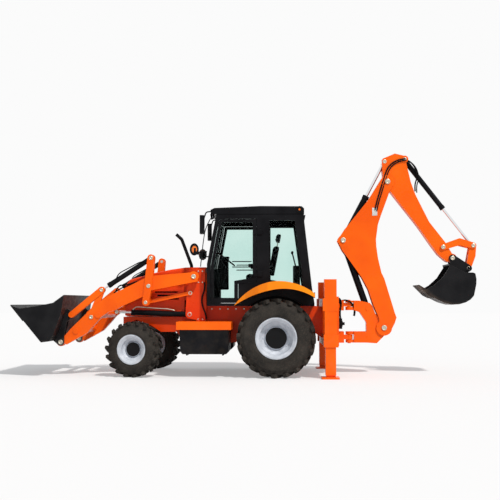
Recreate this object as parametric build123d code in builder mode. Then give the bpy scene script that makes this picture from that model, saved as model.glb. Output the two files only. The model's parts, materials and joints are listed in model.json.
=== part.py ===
"""Backhoe loader: a wheeled tractor with a front loader and a side-shift rear hoe.

All sizes are millimetres. X runs along the machine with the loader towards -X,
Y runs across it with the left side at -Y, and Z is up from the ground. In side
view every place is (x, z) with x measured from the rear axle.
"""

from build123d import *
from math import cos, hypot, radians, sin
import os

os.makedirs("parts", exist_ok=True)

# %% Driving dimensions
rear_axle_x = 463          # places the middle of the machine at the origin
wheelbase = 2347
front_axle_x = -wheelbase
front_tyre_radius = 466
front_tyre_width = 315
front_track_half = 890
rear_tyre_radius = 658
rear_tyre_width = 425
rear_track_half = 925
steer_rest = -11.5         # wheels parked turned to the right
kingpin_half = 640
bead_seat = 14             # rim flange height over the tyre's seat

pin_gap = 0.5              # running gap round every pin
plate_gap = 5              # side gap between moving plates

# Loader linkage, side view
arm_pivot = (-1412, 1695)
post_pivot = (-2187, 1532)
level_drop = (-70, -281)
post_top = (-2148, 2015)
lever_pivot = (-3173, 1001)
lever_top = (-3000, 1466)
bucket_pivot = (-3690, 576)
lift_base = (-1495, 1045)
lift_pin = (-2763, 1088)
level_base = (arm_pivot[0] + level_drop[0], arm_pivot[1] + level_drop[1])
level_pin = (post_pivot[0] + level_drop[0], post_pivot[1] + level_drop[1])
bucket_link_pin = (
    bucket_pivot[0] + lever_top[0] - lever_pivot[0],
    bucket_pivot[1] + lever_top[1] - lever_pivot[1],
)

# Loader widths, measured from the centre plane
hood_half = 420
tower_outer = 561
arm_inner = 610
arm_outer = 710
lift_centre = 492
link_pin_radius = 26
arm_pin_radius = 32

# Hoe linkage, side view
swing_x = 1290
boom_foot = (1900, 805)
boom_ram_base = (1612, 1139)
knee = (1190, 2356)
dipper_pivot = (1986, 3402)
dipper_ram_pin = (1940, 3766)
hoe_ram_base = (2299, 3809)
hoe_pivot = (3113, 2034)
idler_pivot = (2952, 2230)
idler_pin = (3483, 2256)
tip_pin = (3393, 1854)

boom_half = 112
dipper_half = 88
kingpost_half = 84
hoe_bucket_half = 290

# Cab and body
cab_floor = 1190.7
frame_front = 799.7
cab_half = 740
cab_wall = 45
roof_top = 2903
loader_bucket_half = 1060
foot_half = 1240
fender_half = 1150


# %% Helpers
def side(y):
    """Side-view plane at lateral place y, looking at the machine's left."""
    return Plane(origin=(rear_axle_x, y, 0), x_dir=(1, 0, 0), z_dir=(0, -1, 0))


def along(start, end, y):
    """Plane across the line from start to end, both in side view."""
    direction = (end[0] - start[0], 0, end[1] - start[1])
    return Plane(origin=(rear_axle_x + start[0], y, start[1]), x_dir=(0, 1, 0), z_dir=direction)


def distance(start, end):
    return hypot(end[0] - start[0], end[1] - start[1])


def between(start, end, share):
    return (
        start[0] + (end[0] - start[0]) * share,
        start[1] + (end[1] - start[1]) * share,
    )


def plate(points, y_in, y_out, radius=0, mode=Mode.ADD):
    """Flat plate of a side-view outline, from y_in to y_out on the left."""
    with BuildSketch(side(-y_in)) as outline:
        Polygon(*points, align=None)
        if radius:
            fillet(outline.vertices(), radius)
    extrude(outline.sketch, amount=y_out - y_in, mode=mode)


def link(ends, y_in, y_out, mode=Mode.ADD):
    """Flat link whose outline wraps round ends given as (x, z, radius)."""
    with BuildSketch(side(-y_in)) as outline:
        for x, z, radius in ends:
            with Locations((x, z)):
                Circle(radius)
        make_hull()
    extrude(outline.sketch, amount=y_out - y_in, mode=mode)


def round_y(centre, radius, y_in, y_out, mode=Mode.ADD):
    """Pin, boss or bore across the machine."""
    with BuildSketch(side(-y_in)) as disc:
        with Locations(centre):
            Circle(radius)
    extrude(disc.sketch, amount=y_out - y_in, mode=mode)


def round_along(start, end, radius, y, begin=0, stop=None, mode=Mode.ADD):
    """Round bar on the line from start to end, between two distances."""
    length = distance(start, end) if stop is None else stop
    with BuildSketch(along(start, end, y).offset(begin)) as disc:
        Circle(radius)
    extrude(disc.sketch, amount=length - begin, mode=mode)


def block(x_range, y_range, z_range, radius=0, mode=Mode.ADD):
    """Box between side-view limits; y is signed, left is negative."""
    with BuildSketch(Plane.XY.offset(z_range[0])) as base:
        with Locations((rear_axle_x + sum(x_range) / 2, sum(y_range) / 2)):
            Rectangle(x_range[1] - x_range[0], y_range[1] - y_range[0])
        if radius:
            fillet(base.vertices(), radius)
    extrude(base.sketch, amount=z_range[1] - z_range[0], mode=mode)


# %% Wheels
def build_rim(radius, width, hub_radius, bolt_circle, bolts):
    """Dished disc wheel with its axis on Z, outer side up."""
    flange = 34
    dish = width * 0.22
    with BuildPart() as rim:
        with BuildSketch(Plane.XZ):
            with BuildLine():
                Polyline(
                    (0, 0),
                    (hub_radius + 18, 0),
                    (radius - 95, dish * 0.25),
                    (radius - 50, dish * 0.9),
                    (radius - 42, width / 2 - flange),
                    (radius, width / 2 - 12),
                    (radius, width / 2),
                    (radius - 22, width / 2),
                    (radius - 66, width / 2 - flange),
                    (radius - 74, dish * 1.1),
                    (radius - 110, dish * 0.25 + 22),
                    (hub_radius + 20, 22),
                    (hub_radius, 62),
                    (0, 62),
                    close=True,
                )
            make_face()
        revolve(axis=Axis.Z)
        with BuildSketch(Plane.XY.offset(-width / 2)):
            Circle(radius - bead_seat)
            Circle(radius - 62, mode=Mode.SUBTRACT)
        extrude(amount=width - flange)
        with BuildSketch(Plane.XY.offset(22)):
            with PolarLocations(bolt_circle, bolts):
                RegularPolygon(13, 6)
        extrude(amount=24)
    return rim.part


def build_tyre(radius, rim_radius, width, lugs, lug_height):
    """Tractor tyre on Z with two rows of slanting bar lugs."""
    carcass = radius - lug_height
    with BuildPart() as tyre:
        with BuildSketch(Plane.XZ):
            with BuildLine():
                Polyline(
                    (rim_radius - bead_seat + 0.3, -width * 0.33),
                    (rim_radius + 4, -width * 0.385),
                    (rim_radius + 6, -width * 0.46),
                    (rim_radius + 45, -width * 0.49),
                    (carcass - 95, -width * 0.46),
                    (carcass - 22, -width * 0.36),
                    (carcass, 0),
                    (carcass - 22, width * 0.36),
                    (carcass - 95, width * 0.46),
                    (rim_radius + 45, width * 0.49),
                    (rim_radius + 6, width * 0.46),
                    (rim_radius + 4, width * 0.385),
                    (rim_radius - bead_seat + 0.3, width * 0.33),
                    close=True,
                )
            make_face()
        revolve(axis=Axis.Z)
        for row in (-1, 1):
            turn = 0 if row > 0 else 180 / lugs
            with PolarLocations(0, lugs, start_angle=turn):
                with Locations(
                    Location((radius - lug_height, 0, row * width * 0.245), (row * 32, 0, 0))
                ):
                    Box(lug_height * 2, radius * 0.105, width * 0.50)
        with BuildSketch(Plane.XY.offset(-width)):
            Circle(radius * 1.3)
            Circle(radius, mode=Mode.SUBTRACT)
        extrude(amount=2 * width, mode=Mode.SUBTRACT)
    return tyre.part


steer_turn = radians(steer_rest)
wheel_table = (
    # name, wheel centre x and z, track, rim radius, steered, side
    ("front_left", front_axle_x, front_tyre_radius, front_track_half, 1, -1),
    ("front_right", front_axle_x, front_tyre_radius, front_track_half, 1, 1),
    ("rear_left", 0, rear_tyre_radius, rear_track_half, 0, -1),
    ("rear_right", 0, rear_tyre_radius, rear_track_half, 0, 1),
)
front_rim_radius = 251
rear_rim_radius = 346
front_rim = build_rim(front_rim_radius, front_tyre_width * 0.88, 117, 150, 8)
rear_rim = build_rim(rear_rim_radius, rear_tyre_width * 0.88, 176, 215, 10)
front_tyre = build_tyre(front_tyre_radius, front_rim_radius, front_tyre_width, 18, 26)
rear_tyre = build_tyre(rear_tyre_radius, rear_rim_radius, rear_tyre_width, 20, 34)


def wheel_plane(x, z, track, steered, hand):
    """Wheel plane facing outwards, turned about its kingpin when steered."""
    turn = steer_turn * steered
    pivot = kingpin_half * steered
    reach = track - pivot
    centre = (
        rear_axle_x + x - hand * reach * sin(turn),
        hand * pivot + hand * reach * cos(turn),
        z,
    )
    return Plane(
        origin=centre,
        x_dir=(cos(turn), sin(turn), 0),
        z_dir=(-hand * sin(turn), hand * cos(turn), 0),
    )


for name, x, z, track, steered, hand in wheel_table:
    place = wheel_plane(x, z, track, steered, hand).location
    with BuildPart() as rim:
        with Locations(place):
            add(front_rim if steered else rear_rim)
    rim.part.label = f"rim_{name}"
    export_step(rim.part, f"parts/rim_{name}.step")
    with BuildPart() as tyre:
        with Locations(place):
            add(front_tyre if steered else rear_tyre)
    tyre.part.label = f"tyre_{name}"
    export_step(tyre.part, f"parts/tyre_{name}.step")

# %% Front axle and knuckles
axle_pin_z = front_tyre_radius + 40
axle_pin_radius = 28
saddle_reach = 80          # half the gap between the saddle plates
with BuildPart() as front_axle:
    link(
        ((front_axle_x, front_tyre_radius, 78), (front_axle_x, front_tyre_radius + 40, 70)),
        -120,
        120,
    )
    with BuildSketch(Plane.YZ.offset(rear_axle_x + front_axle_x)) as beam:
        with BuildLine():
            Polyline(
                (-kingpin_half + 50, front_tyre_radius - 62),
                (-150, front_tyre_radius - 95),
                (150, front_tyre_radius - 95),
                (kingpin_half - 50, front_tyre_radius - 62),
                (kingpin_half - 50, front_tyre_radius + 62),
                (150, front_tyre_radius + 80),
                (-150, front_tyre_radius + 80),
                (-kingpin_half + 50, front_tyre_radius + 62),
                close=True,
            )
        make_face()
    extrude(beam.sketch, amount=62, both=True)
    with BuildSketch(Plane.YZ.offset(rear_axle_x + front_axle_x - 100)) as pin_bore:
        with Locations((0, axle_pin_z)):
            Circle(axle_pin_radius + pin_gap)
    extrude(pin_bore.sketch, amount=200, mode=Mode.SUBTRACT)
    for hand in (-1, 1):
        with BuildSketch(Plane.XY.offset(front_tyre_radius - 62)) as ball:
            with Locations((rear_axle_x + front_axle_x, hand * kingpin_half)):
                Circle(56)
        extrude(ball.sketch, amount=124)
        with BuildSketch(Plane.XY.offset(front_tyre_radius - 63)) as bore:
            with Locations((rear_axle_x + front_axle_x, hand * kingpin_half)):
                Circle(24 + pin_gap)
        extrude(bore.sketch, amount=126, mode=Mode.SUBTRACT)
front_axle.part.label = "front_axle"
export_step(front_axle.part, "parts/front_axle.step")

for name, hand in (("left", -1), ("right", 1)):
    spin = wheel_plane(front_axle_x, front_tyre_radius, front_track_half, 1, hand)
    yoke_half = 92
    with BuildPart() as knuckle:
        for level in (-yoke_half, 68):
            with BuildSketch(Plane.XY.offset(front_tyre_radius + level)) as cheek:
                with Locations((rear_axle_x + front_axle_x, hand * kingpin_half)):
                    Circle(50)
            extrude(cheek.sketch, amount=24)
        with BuildSketch(Plane.XY.offset(front_tyre_radius - yoke_half)) as kingpin:
            with Locations((rear_axle_x + front_axle_x, hand * kingpin_half)):
                Circle(24)
        extrude(kingpin.sketch, amount=2 * yoke_half)
        reach = front_track_half - kingpin_half
        with BuildSketch(spin.offset(-reach + 72)) as face:
            Circle(86)
        extrude(face.sketch, amount=24)
        with BuildSketch(spin.offset(-reach)) as cheeks:
            with Locations((0, -80), (0, 80)):
                Rectangle(70, 24)
        extrude(cheeks.sketch, amount=80)
        with BuildSketch(spin.offset(-reach + 90)) as spindle:
            Circle(60)
        extrude(spindle.sketch, amount=reach - 90 - pin_gap)
    knuckle.part.label = f"knuckle_{name}"
    export_step(knuckle.part, f"parts/knuckle_{name}.step")

# %% Rear axle
axle_casing = (
    # nearest and farthest place from the centre plane, casing radius
    (rear_track_half - 200, rear_track_half - pin_gap, 100),
    (rear_track_half - 250, rear_track_half - 60, 150),
    (-1, rear_track_half - 240, 105),
    (-1, 160, 175),
)
with BuildPart() as rear_axle:
    for near, far, radius in axle_casing:
        round_y((0, rear_tyre_radius), radius, near, far)
    mirror(about=Plane.XZ)
    block((-420, 0), (-150, 150), (rear_tyre_radius - 110, rear_tyre_radius + 120), 30)
rear_axle.part.label = "rear_axle"
export_step(rear_axle.part, "parts/rear_axle.step")

# %% Chassis with loader towers
chassis_half = 405
chassis_front = front_axle_x - 321
side_thick = 18
hood_rear = -1600
cowl_front = hood_rear + 6
cowl_wall = 16
with BuildPart() as chassis_frame:
    plate(
        (
            (chassis_front, 1000),
            (chassis_front, 862),
            (front_axle_x - 89, 952),
            (front_axle_x + 152, 864),
            (front_axle_x + 337, 742),
            (-1740, 742),
            (-1560, 560),
            (-700, 560),
            (-520, 792),
            (560, 792),
            (frame_front, 640),
            (frame_front, 1180),
            (640, cab_floor),
            (-1200, cab_floor),
            (-1400, 1000),
        ),
        chassis_half,
        chassis_half + side_thick,
    )
    plate(((-1380, 1000), (-1200, 1000), (-1215, 1760), (-1300, 1830), (-1420, 1800),
           (-1490, 1690), (-1560, 1440), (-1590, 1000)), chassis_half, chassis_half + side_thick)
    link(((arm_pivot[0], arm_pivot[1], 92), (level_base[0], level_base[1], 62),
          (lift_base[0], lift_base[1], 70), (-1290, 1650, 60), (-1260, 990, 60)),
         tower_outer - 16, tower_outer)
    plate(((-1390, 1560), (-1230, 1560), (-1230, 1830), (-1390, 1830)), chassis_half + 1, tower_outer - 1)
    plate(((-1380, 930), (-1230, 930), (-1230, 1180), (-1330, 1180)), chassis_half + 1, tower_outer - 1)
    round_y(arm_pivot, arm_pin_radius, tower_outer - 1, arm_outer + 12)
    round_y(arm_pivot, 60, tower_outer - 1, arm_inner - plate_gap)
    round_y(level_base, link_pin_radius, tower_outer - 1, 588)
    round_y(lift_base, link_pin_radius, chassis_half + 1, tower_outer + 8)
    mirror(about=Plane.XZ)
    for x_range, z_range in (
        ((chassis_front, chassis_front + 68), (862, 1000)),
        ((front_axle_x + 167, front_axle_x + 247), (880, 990)),
        ((-1600, -1500), (600, 900)),
        ((-800, -720), (565, 630)),
        ((300, 420), (800, 1060)),
        ((700, frame_front), (1110, 1180)),
    ):
        block(x_range, (-chassis_half - 1, chassis_half + 1), z_range)
    block((chassis_front + 58, front_axle_x + 177), (-chassis_half - 1, chassis_half + 1), (960, 1000))
    plate(
        ((cowl_front, 1862), (-1225, 1866), (-1225, 1180), (-1440, 1180), (cowl_front, 1300)),
        -chassis_half - 1,
        chassis_half + 1,
    )
    plate(
        ((cowl_front, 1862 - cowl_wall), (-1225 - cowl_wall, 1866 - cowl_wall),
         (-1225 - cowl_wall, 1100), (cowl_front, 1100)),
        -chassis_half + cowl_wall,
        chassis_half - cowl_wall,
        mode=Mode.SUBTRACT,
    )
    for ear in (-saddle_reach - 24, saddle_reach):
        with BuildSketch(Plane.YZ.offset(rear_axle_x + front_axle_x + ear)) as saddle:
            with BuildLine():
                Polyline((-150, 1000), (-80, axle_pin_z - 70), (80, axle_pin_z - 70), (150, 1000),
                         close=True)
            make_face()
        extrude(saddle.sketch, amount=24)
    with BuildSketch(Plane.YZ.offset(rear_axle_x + front_axle_x - saddle_reach - 30)) as axle_pin:
        with Locations((0, axle_pin_z)):
            Circle(axle_pin_radius)
    extrude(axle_pin.sketch, amount=2 * saddle_reach + 60)
chassis_frame.part.label = "chassis_frame"
export_step(chassis_frame.part, "parts/chassis_frame.step")

with BuildPart() as engine_block:
    block((-2340, -1650), (-270, 270), (1010, 1560), 40)
    block((-1650, -1300), (-200, 200), (900, 1350), 40)
    block((-1300, -421), (-180, 180), (640, 1000), 40)
engine_block.part.label = "engine_block"
export_step(engine_block.part, "parts/engine_block.step")

# %% Hood
hood_wall = 22
hood_pin_radius = 5.5
hood_outline = (
    (hood_rear, 1862), (-1838, 1828), (-2113, 1774), (-2560, 1655), (-2640, 1560),
    (-2640, 1030), (-2600, 1010), (hood_rear, 1010),
)
with BuildPart() as hood:
    plate(hood_outline, -hood_half, hood_half)
    crown = (
        hood.edges()
        .filter_by(lambda e: abs(abs(e.center().Y) - hood_half) < 1)
        .filter_by(lambda e: e.center().Z > 1560)
    )
    fillet(crown, 45)
    plate(
        (
            (hood_rear + 1, 1862 - hood_wall), (-1838, 1828 - hood_wall), (-2113, 1774 - hood_wall),
            (-2552, 1655 - hood_wall), (-2640 + hood_wall, 1556), (-2640 + hood_wall, 1000),
            (hood_rear + 1, 1000),
        ),
        -hood_half + hood_wall,
        hood_half - hood_wall,
        mode=Mode.SUBTRACT,
    )
    for row in range(9):
        low = 1200 + row * 36
        block((-2700, -2600), (-270, 270), (low, low + 20), mode=Mode.SUBTRACT)
    for row in range(3):
        low = 1420 - row * 60
        for hand in (-1, 1):
            block(
                (-2120 + row * 40, -1720 + row * 10),
                (hand * hood_half - 30, hand * hood_half + 30),
                (low, low + 26),
                mode=Mode.SUBTRACT,
            )
    for y_in in (-300, 240):
        round_y((hood_rear, 1862), hood_pin_radius, y_in, y_in + 60)
hood.part.label = "hood"
export_step(hood.part, "parts/hood.step")

# %% Exhaust stack on the cowl
exhaust_y = 300
exhaust_radius = 30
with BuildPart() as exhaust_stack:
    with BuildLine() as pipe_line:
        pipe_path = FilletPolyline(
            (rear_axle_x - 1556, exhaust_y, 1864.3),
            (rear_axle_x - 1556, exhaust_y, 1925),
            (rear_axle_x - 1740, exhaust_y, 2410),
            (rear_axle_x - 1840, exhaust_y, 2500),
            radius=80,
        )
    with BuildSketch(Plane(origin=pipe_path @ 0, z_dir=pipe_path % 0)):
        Circle(exhaust_radius)
    sweep(path=pipe_path)
exhaust_stack.part.label = "exhaust_stack"
export_step(exhaust_stack.part, "parts/exhaust_stack.step")

# %% Loader arms
slot_in = 626
slot_out = 694
with BuildPart() as loader_arms:
    plate(
        (
            (-1340, 1612), (-2128, 1462), (-2281, 1352), (-2655, 1178), (-2760, 1116),
            (-2880, 1084), (-3000, 1002), (-3100, 882), (-3240, 729), (-3600, 530), (-3660, 640),
            (-3515, 810), (-3120, 1196), (-2934, 1329), (-2260, 1664), (-2080, 1713),
            (-1400, 1770),
        ),
        arm_inner,
        arm_outer,
    )
    for centre, radius in ((arm_pivot, 88), (bucket_pivot, 72), (lever_pivot, 80)):
        round_y(centre, radius, arm_inner, arm_outer)
    link(
        ((lever_pivot[0], lever_pivot[1], 70), (lever_pivot[0] - 250, lever_pivot[1] + 60, 70),
         (lever_pivot[0] + 30, 1420, 90), (lever_pivot[0] + 200, 1340, 90)),
        slot_in,
        slot_out,
        mode=Mode.SUBTRACT,
    )
    round_y(arm_pivot, arm_pin_radius + pin_gap, arm_inner - 1, arm_outer + 1, mode=Mode.SUBTRACT)
    round_y(bucket_pivot, arm_pin_radius + pin_gap, arm_inner - 1, arm_outer + 1, mode=Mode.SUBTRACT)
    round_y(lever_pivot, link_pin_radius + pin_gap, arm_inner - 1, arm_outer + 1, mode=Mode.SUBTRACT)
    round_y(post_pivot, link_pin_radius, 584, 736)
    for y_in in (444, 528):
        link(((lift_pin[0], lift_pin[1], 46), (lift_pin[0] - 90, lift_pin[1] + 150, 40)), y_in, y_in + 12)
    round_y((lift_pin[0] - 90, lift_pin[1] + 150), 40, 444, arm_inner + 1)
    mirror(about=Plane.XZ)
    for centre in ((-3055, 1034), (-3434, 763)):
        round_y(centre, 58, -arm_inner - 8, arm_inner + 8)
        for y_in in (-arm_outer - 14, arm_outer - 8):
            round_y(centre, 50, y_in, y_in + 22)
loader_arms.part.label = "loader_arms"
export_step(loader_arms.part, "parts/loader_arms.step")

# %% Levelling posts and links
with BuildPart() as posts:
    for y_in in (588, 716):
        link(
            ((post_top[0], post_top[1], 60), (post_pivot[0], post_pivot[1], 62),
             (level_pin[0] + 24, level_pin[1], 56)),
            y_in,
            y_in + 16,
        )
    round_y(post_pivot, link_pin_radius + pin_gap, 580, 740, mode=Mode.SUBTRACT)
    round_y(post_top, link_pin_radius + pin_gap, 580, 740, mode=Mode.SUBTRACT)
    round_y(level_pin, link_pin_radius, 562, 589)
    mirror(about=Plane.XZ)
posts.part.label = "posts"
export_step(posts.part, "parts/posts.step")

with BuildPart() as level_links:
    link(((level_base[0], level_base[1], 30), (level_pin[0], level_pin[1], 30)), 566, 582)
    for centre in (level_base, level_pin):
        round_y(centre, 44, 566, 582)
        round_y(centre, link_pin_radius + pin_gap, 560, 590, mode=Mode.SUBTRACT)
    mirror(about=Plane.XZ)
level_links.part.label = "level_links"
export_step(level_links.part, "parts/level_links.step")

# %% Cylinders
def cylinder_barrel(base, tip, length, radius, rod, y, pin_radius, eye_half):
    """Barrel with a bored eye at base, pointing to tip, and a gland round its rod."""
    round_y(base, pin_radius + 22, y - eye_half, y + eye_half)
    round_along(base, tip, radius, -y, pin_radius + 26, length)
    round_along(base, tip, radius * 0.6, -y, pin_radius + 8, pin_radius + 27)
    round_along(base, tip, radius * 1.1, -y, length - 60, length)
    round_y(base, pin_radius + pin_gap, y - eye_half - 1, y + eye_half + 1, mode=Mode.SUBTRACT)
    round_along(base, tip, radius * 0.72, -y, bore_start, length - gland, mode=Mode.SUBTRACT)
    round_along(base, tip, rod + rod_gap, -y, length - gland - 1, length + 1, mode=Mode.SUBTRACT)


def cylinder_rod(base, tip, inside, radius, y, eye_radius, eye_half):
    """Chrome rod from inside its barrel to an eye round the pin at tip."""
    reach = distance(base, tip)
    round_along(base, tip, radius, -y, inside, reach - eye_radius - 90)
    round_along(base, tip, min(radius, eye_half - 1), -y, inside, reach - eye_radius * 0.8)
    round_y(tip, eye_radius, y - eye_half, y + eye_half)


bore_start = 80            # closed end of every barrel, from its base pin
gland = 50
rod_gap = 0.4              # running gap round every rod and beside its eye
lift_length = 1020
dump_length = 880
rod_radius = 22
boom_rod_radius = 30
dipper_rod_radius = 28
bucket_rod_radius = 26
with BuildPart() as lift_barrels:
    cylinder_barrel(lift_base, lift_pin, lift_length, 46, rod_radius, lift_centre, link_pin_radius, 30)
    mirror(about=Plane.XZ)
lift_barrels.part.label = "lift_barrels"
export_step(lift_barrels.part, "parts/lift_barrels.step")

with BuildPart() as lift_rods:
    cylinder_rod(lift_base, lift_pin, 200, rod_radius, lift_centre, 40, 36 - rod_gap)
    mirror(about=Plane.XZ)
lift_rods.part.label = "lift_rods"
export_step(lift_rods.part, "parts/lift_rods.step")

dump_centre = (arm_inner + arm_outer) / 2
with BuildPart() as dump_pins:
    round_y(post_top, link_pin_radius, 586, 734)
    mirror(about=Plane.XZ)
dump_pins.part.label = "dump_pins"
export_step(dump_pins.part, "parts/dump_pins.step")

with BuildPart() as dump_barrels:
    cylinder_barrel(post_top, lever_top, dump_length, 44, rod_radius, dump_centre, link_pin_radius, 34)
    mirror(about=Plane.XZ)
dump_barrels.part.label = "dump_barrels"
export_step(dump_barrels.part, "parts/dump_barrels.step")

with BuildPart() as dump_rods:
    cylinder_rod(post_top, lever_top, 110, rod_radius, dump_centre, 36, 17 - rod_gap)
    mirror(about=Plane.XZ)
dump_rods.part.label = "dump_rods"
export_step(dump_rods.part, "parts/dump_rods.step")

# %% Levers, tilt links and their pins
with BuildPart() as lever_pins:
    round_y(lever_pivot, link_pin_radius, arm_inner - 6, arm_outer + 6)
    mirror(about=Plane.XZ)
lever_pins.part.label = "lever_pins"
export_step(lever_pins.part, "parts/lever_pins.step")

with BuildPart() as levers:
    for y_in in (630, 678):
        link(((lever_pivot[0], lever_pivot[1], 58), (lever_top[0], lever_top[1], 48)), y_in, y_in + 12)
    round_y(lever_pivot, 48, 630, 690)
    round_y(between(lever_pivot, lever_top, 0.45), 24, 630, 690)
    round_y(lever_pivot, link_pin_radius + pin_gap, 600, 720, mode=Mode.SUBTRACT)
    round_y(lever_top, link_pin_radius + pin_gap, 600, 720, mode=Mode.SUBTRACT)
    mirror(about=Plane.XZ)
levers.part.label = "levers"
export_step(levers.part, "parts/levers.step")

with BuildPart() as link_pins:
    for y_in, y_out in ((608, 643), (677, 712)):
        round_y(lever_top, link_pin_radius, y_in, y_out)
    mirror(about=Plane.XZ)
link_pins.part.label = "link_pins"
export_step(link_pins.part, "parts/link_pins.step")

with BuildPart() as tilt_links:
    for y_in in (613, 695):
        link(
            ((lever_top[0], lever_top[1], 56), (bucket_link_pin[0], bucket_link_pin[1], 50)),
            y_in,
            y_in + 12,
        )
        round_y(lever_top, link_pin_radius + pin_gap, y_in - 1, y_in + 13, mode=Mode.SUBTRACT)
    round_y(between(lever_top, bucket_link_pin, 0.55), 30, 613, 707)
    mirror(about=Plane.XZ)
tilt_links.part.label = "tilt_links"
export_step(tilt_links.part, "parts/tilt_links.step")

with BuildPart() as bucket_pins:
    round_y(bucket_pivot, arm_pin_radius, 588, 732)
    mirror(about=Plane.XZ)
bucket_pins.part.label = "bucket_pins"
export_step(bucket_pins.part, "parts/bucket_pins.step")

# %% Loader bucket
bucket_wall = 14
with BuildPart() as loader_bucket:
    plate(
        ((-4455, 1200), (-3936, 583), (-3800, 600), (-3735, 700), (-3600, 1080), (-3560, 1379),
         (-3741, 1247), (-3964, 1200), (-4160, 1168), (-4304, 1150)),
        -loader_bucket_half,
        loader_bucket_half,
    )
    plate(
        ((-4463, 1208), (-4455, 1190), (-4250, 940), (-4238, 950), (-4450, 1214)),
        -loader_bucket_half - 8,
        loader_bucket_half + 8,
    )
    for y_in in (588, 716):
        link(
            ((bucket_pivot[0], bucket_pivot[1], 62), (-3800, 650, 50), (-3660, 1000, 30)),
            y_in,
            y_in + 16,
        )
        round_y(bucket_pivot, arm_pin_radius + pin_gap, y_in - 1, y_in + 17, mode=Mode.SUBTRACT)
        plate(((-3800, 640), (-3640, 640), (-3560, 1060), (-3640, 1060)), y_in, y_in + 16)
    link(
        ((bucket_link_pin[0], bucket_link_pin[1], 44), (-3650, 960, 60), (-3620, 1100, 50)),
        640,
        680,
    )
    mirror(about=Plane.XZ)
    plate(
        ((-4440, 1222), (-3930, 605), (-3812, 618), (-3752, 710), (-3616, 1086), (-3574, 1379),
         (-3600, 1500), (-4470, 1500)),
        -loader_bucket_half + bucket_wall,
        loader_bucket_half - bucket_wall,
        mode=Mode.SUBTRACT,
    )
loader_bucket.part.label = "loader_bucket"
export_step(loader_bucket.part, "parts/loader_bucket.step")

# %% Cab frame with floor and window openings
arch_radius = rear_tyre_radius + 45
arch_inner = 420           # the cab floor is whole between the arches
cab_bottom = cab_floor + 0.3
cab_outline = (
    (-1181, cab_bottom), (-1183, 1907), (-1023, 2765), (467, 2765), (611, 1479), (650, 1240),
    (650, cab_bottom),
)
door_opening = (
    (-1118, 1236), (-1118, 1907), (-975, 2680), (-330, 2680), (-330, 1600), (-645, 1560),
    (-645, 1290), (-690, 1236),
)
quarter_opening = ((-110, 2650), (318, 2650), (470, 1520), (300, 1560), (-110, 1640))
with BuildPart() as cab_frame:
    plate(cab_outline, -cab_half, cab_half)
    for y_in, y_out in ((arch_inner, cab_half + 1), (-cab_half - 1, -arch_inner)):
        round_y((0, rear_tyre_radius), arch_radius, y_in, y_out, mode=Mode.SUBTRACT)
    plate(
        (
            (-1136, 1236), (-1136, 1911), (-985, 2720), (425, 2720), (566, 1477), (590, 1420),
            (-470, 1420), (-560, 1236),
        ),
        -cab_half + cab_wall,
        cab_half - cab_wall,
        mode=Mode.SUBTRACT,
    )
    plate(door_opening, -cab_half - 1, cab_half + 1, mode=Mode.SUBTRACT)
    plate(quarter_opening, -cab_half - 1, cab_half + 1, mode=Mode.SUBTRACT)
    block((-1250, -900), (-655, 655), (1900, 2690), mode=Mode.SUBTRACT)
    for hand in (-1, 1):
        block((-1250, -1130), (hand * 555 - 105, hand * 555 + 105), (1300, 1830), mode=Mode.SUBTRACT)
    block((400, 700), (-640, 640), (1570, 2660), mode=Mode.SUBTRACT)
    block((-900, 350), (-600, 600), (2700, 2800), mode=Mode.SUBTRACT)
cab_frame.part.label = "cab_frame"
export_step(cab_frame.part, "parts/cab_frame.step")

with BuildPart() as cab_roof:
    plate(
        ((-1118, 2765.3), (-1125, 2840), (-1060, 2872), (-259, roof_top), (440, 2896),
         (480, 2860), (480, 2765.3)),
        -cab_half - 10,
        cab_half + 10,
    )
    fillet(cab_roof.edges().filter_by(lambda e: e.center().Z > 2850 and abs(e.center().Y) > cab_half), 30)
    block((-950, 380), (-620, 620), (2760, 2800), mode=Mode.SUBTRACT)
cab_roof.part.label = "cab_roof"
export_step(cab_roof.part, "parts/cab_roof.step")

# %% Glass
glass = 6
with BuildPart() as cab_glass:
    plate(
        ((-125, 2665), (330, 2665), (486, 1500), (300, 1545), (-125, 1625)),
        cab_half - cab_wall - glass - 0.3,
        cab_half - cab_wall - 0.3,
    )
    mirror(about=Plane.XZ)
    with BuildSketch(side(670)) as screen:
        Polygon((-1135.6, 1888), (-1135.6, 1911), (-987.4, 2705), (-980.4, 2705),
                (-1128.6, 1911), (-1128.6, 1888), align=None)
    extrude(screen.sketch, amount=1340)
    for hand in (-1, 1):
        block((-1135.7, -1129.7), (hand * 555 - 125, hand * 555 + 125), (1280, 1850))
    with BuildSketch(side(660)) as rear_pane:
        Polygon((428, 2690), (421, 2690), (551.4, 1540), (558.4, 1540), align=None)
    extrude(rear_pane.sketch, amount=1320)
cab_glass.part.label = "cab_glass"
export_step(cab_glass.part, "parts/cab_glass.step")

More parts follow.
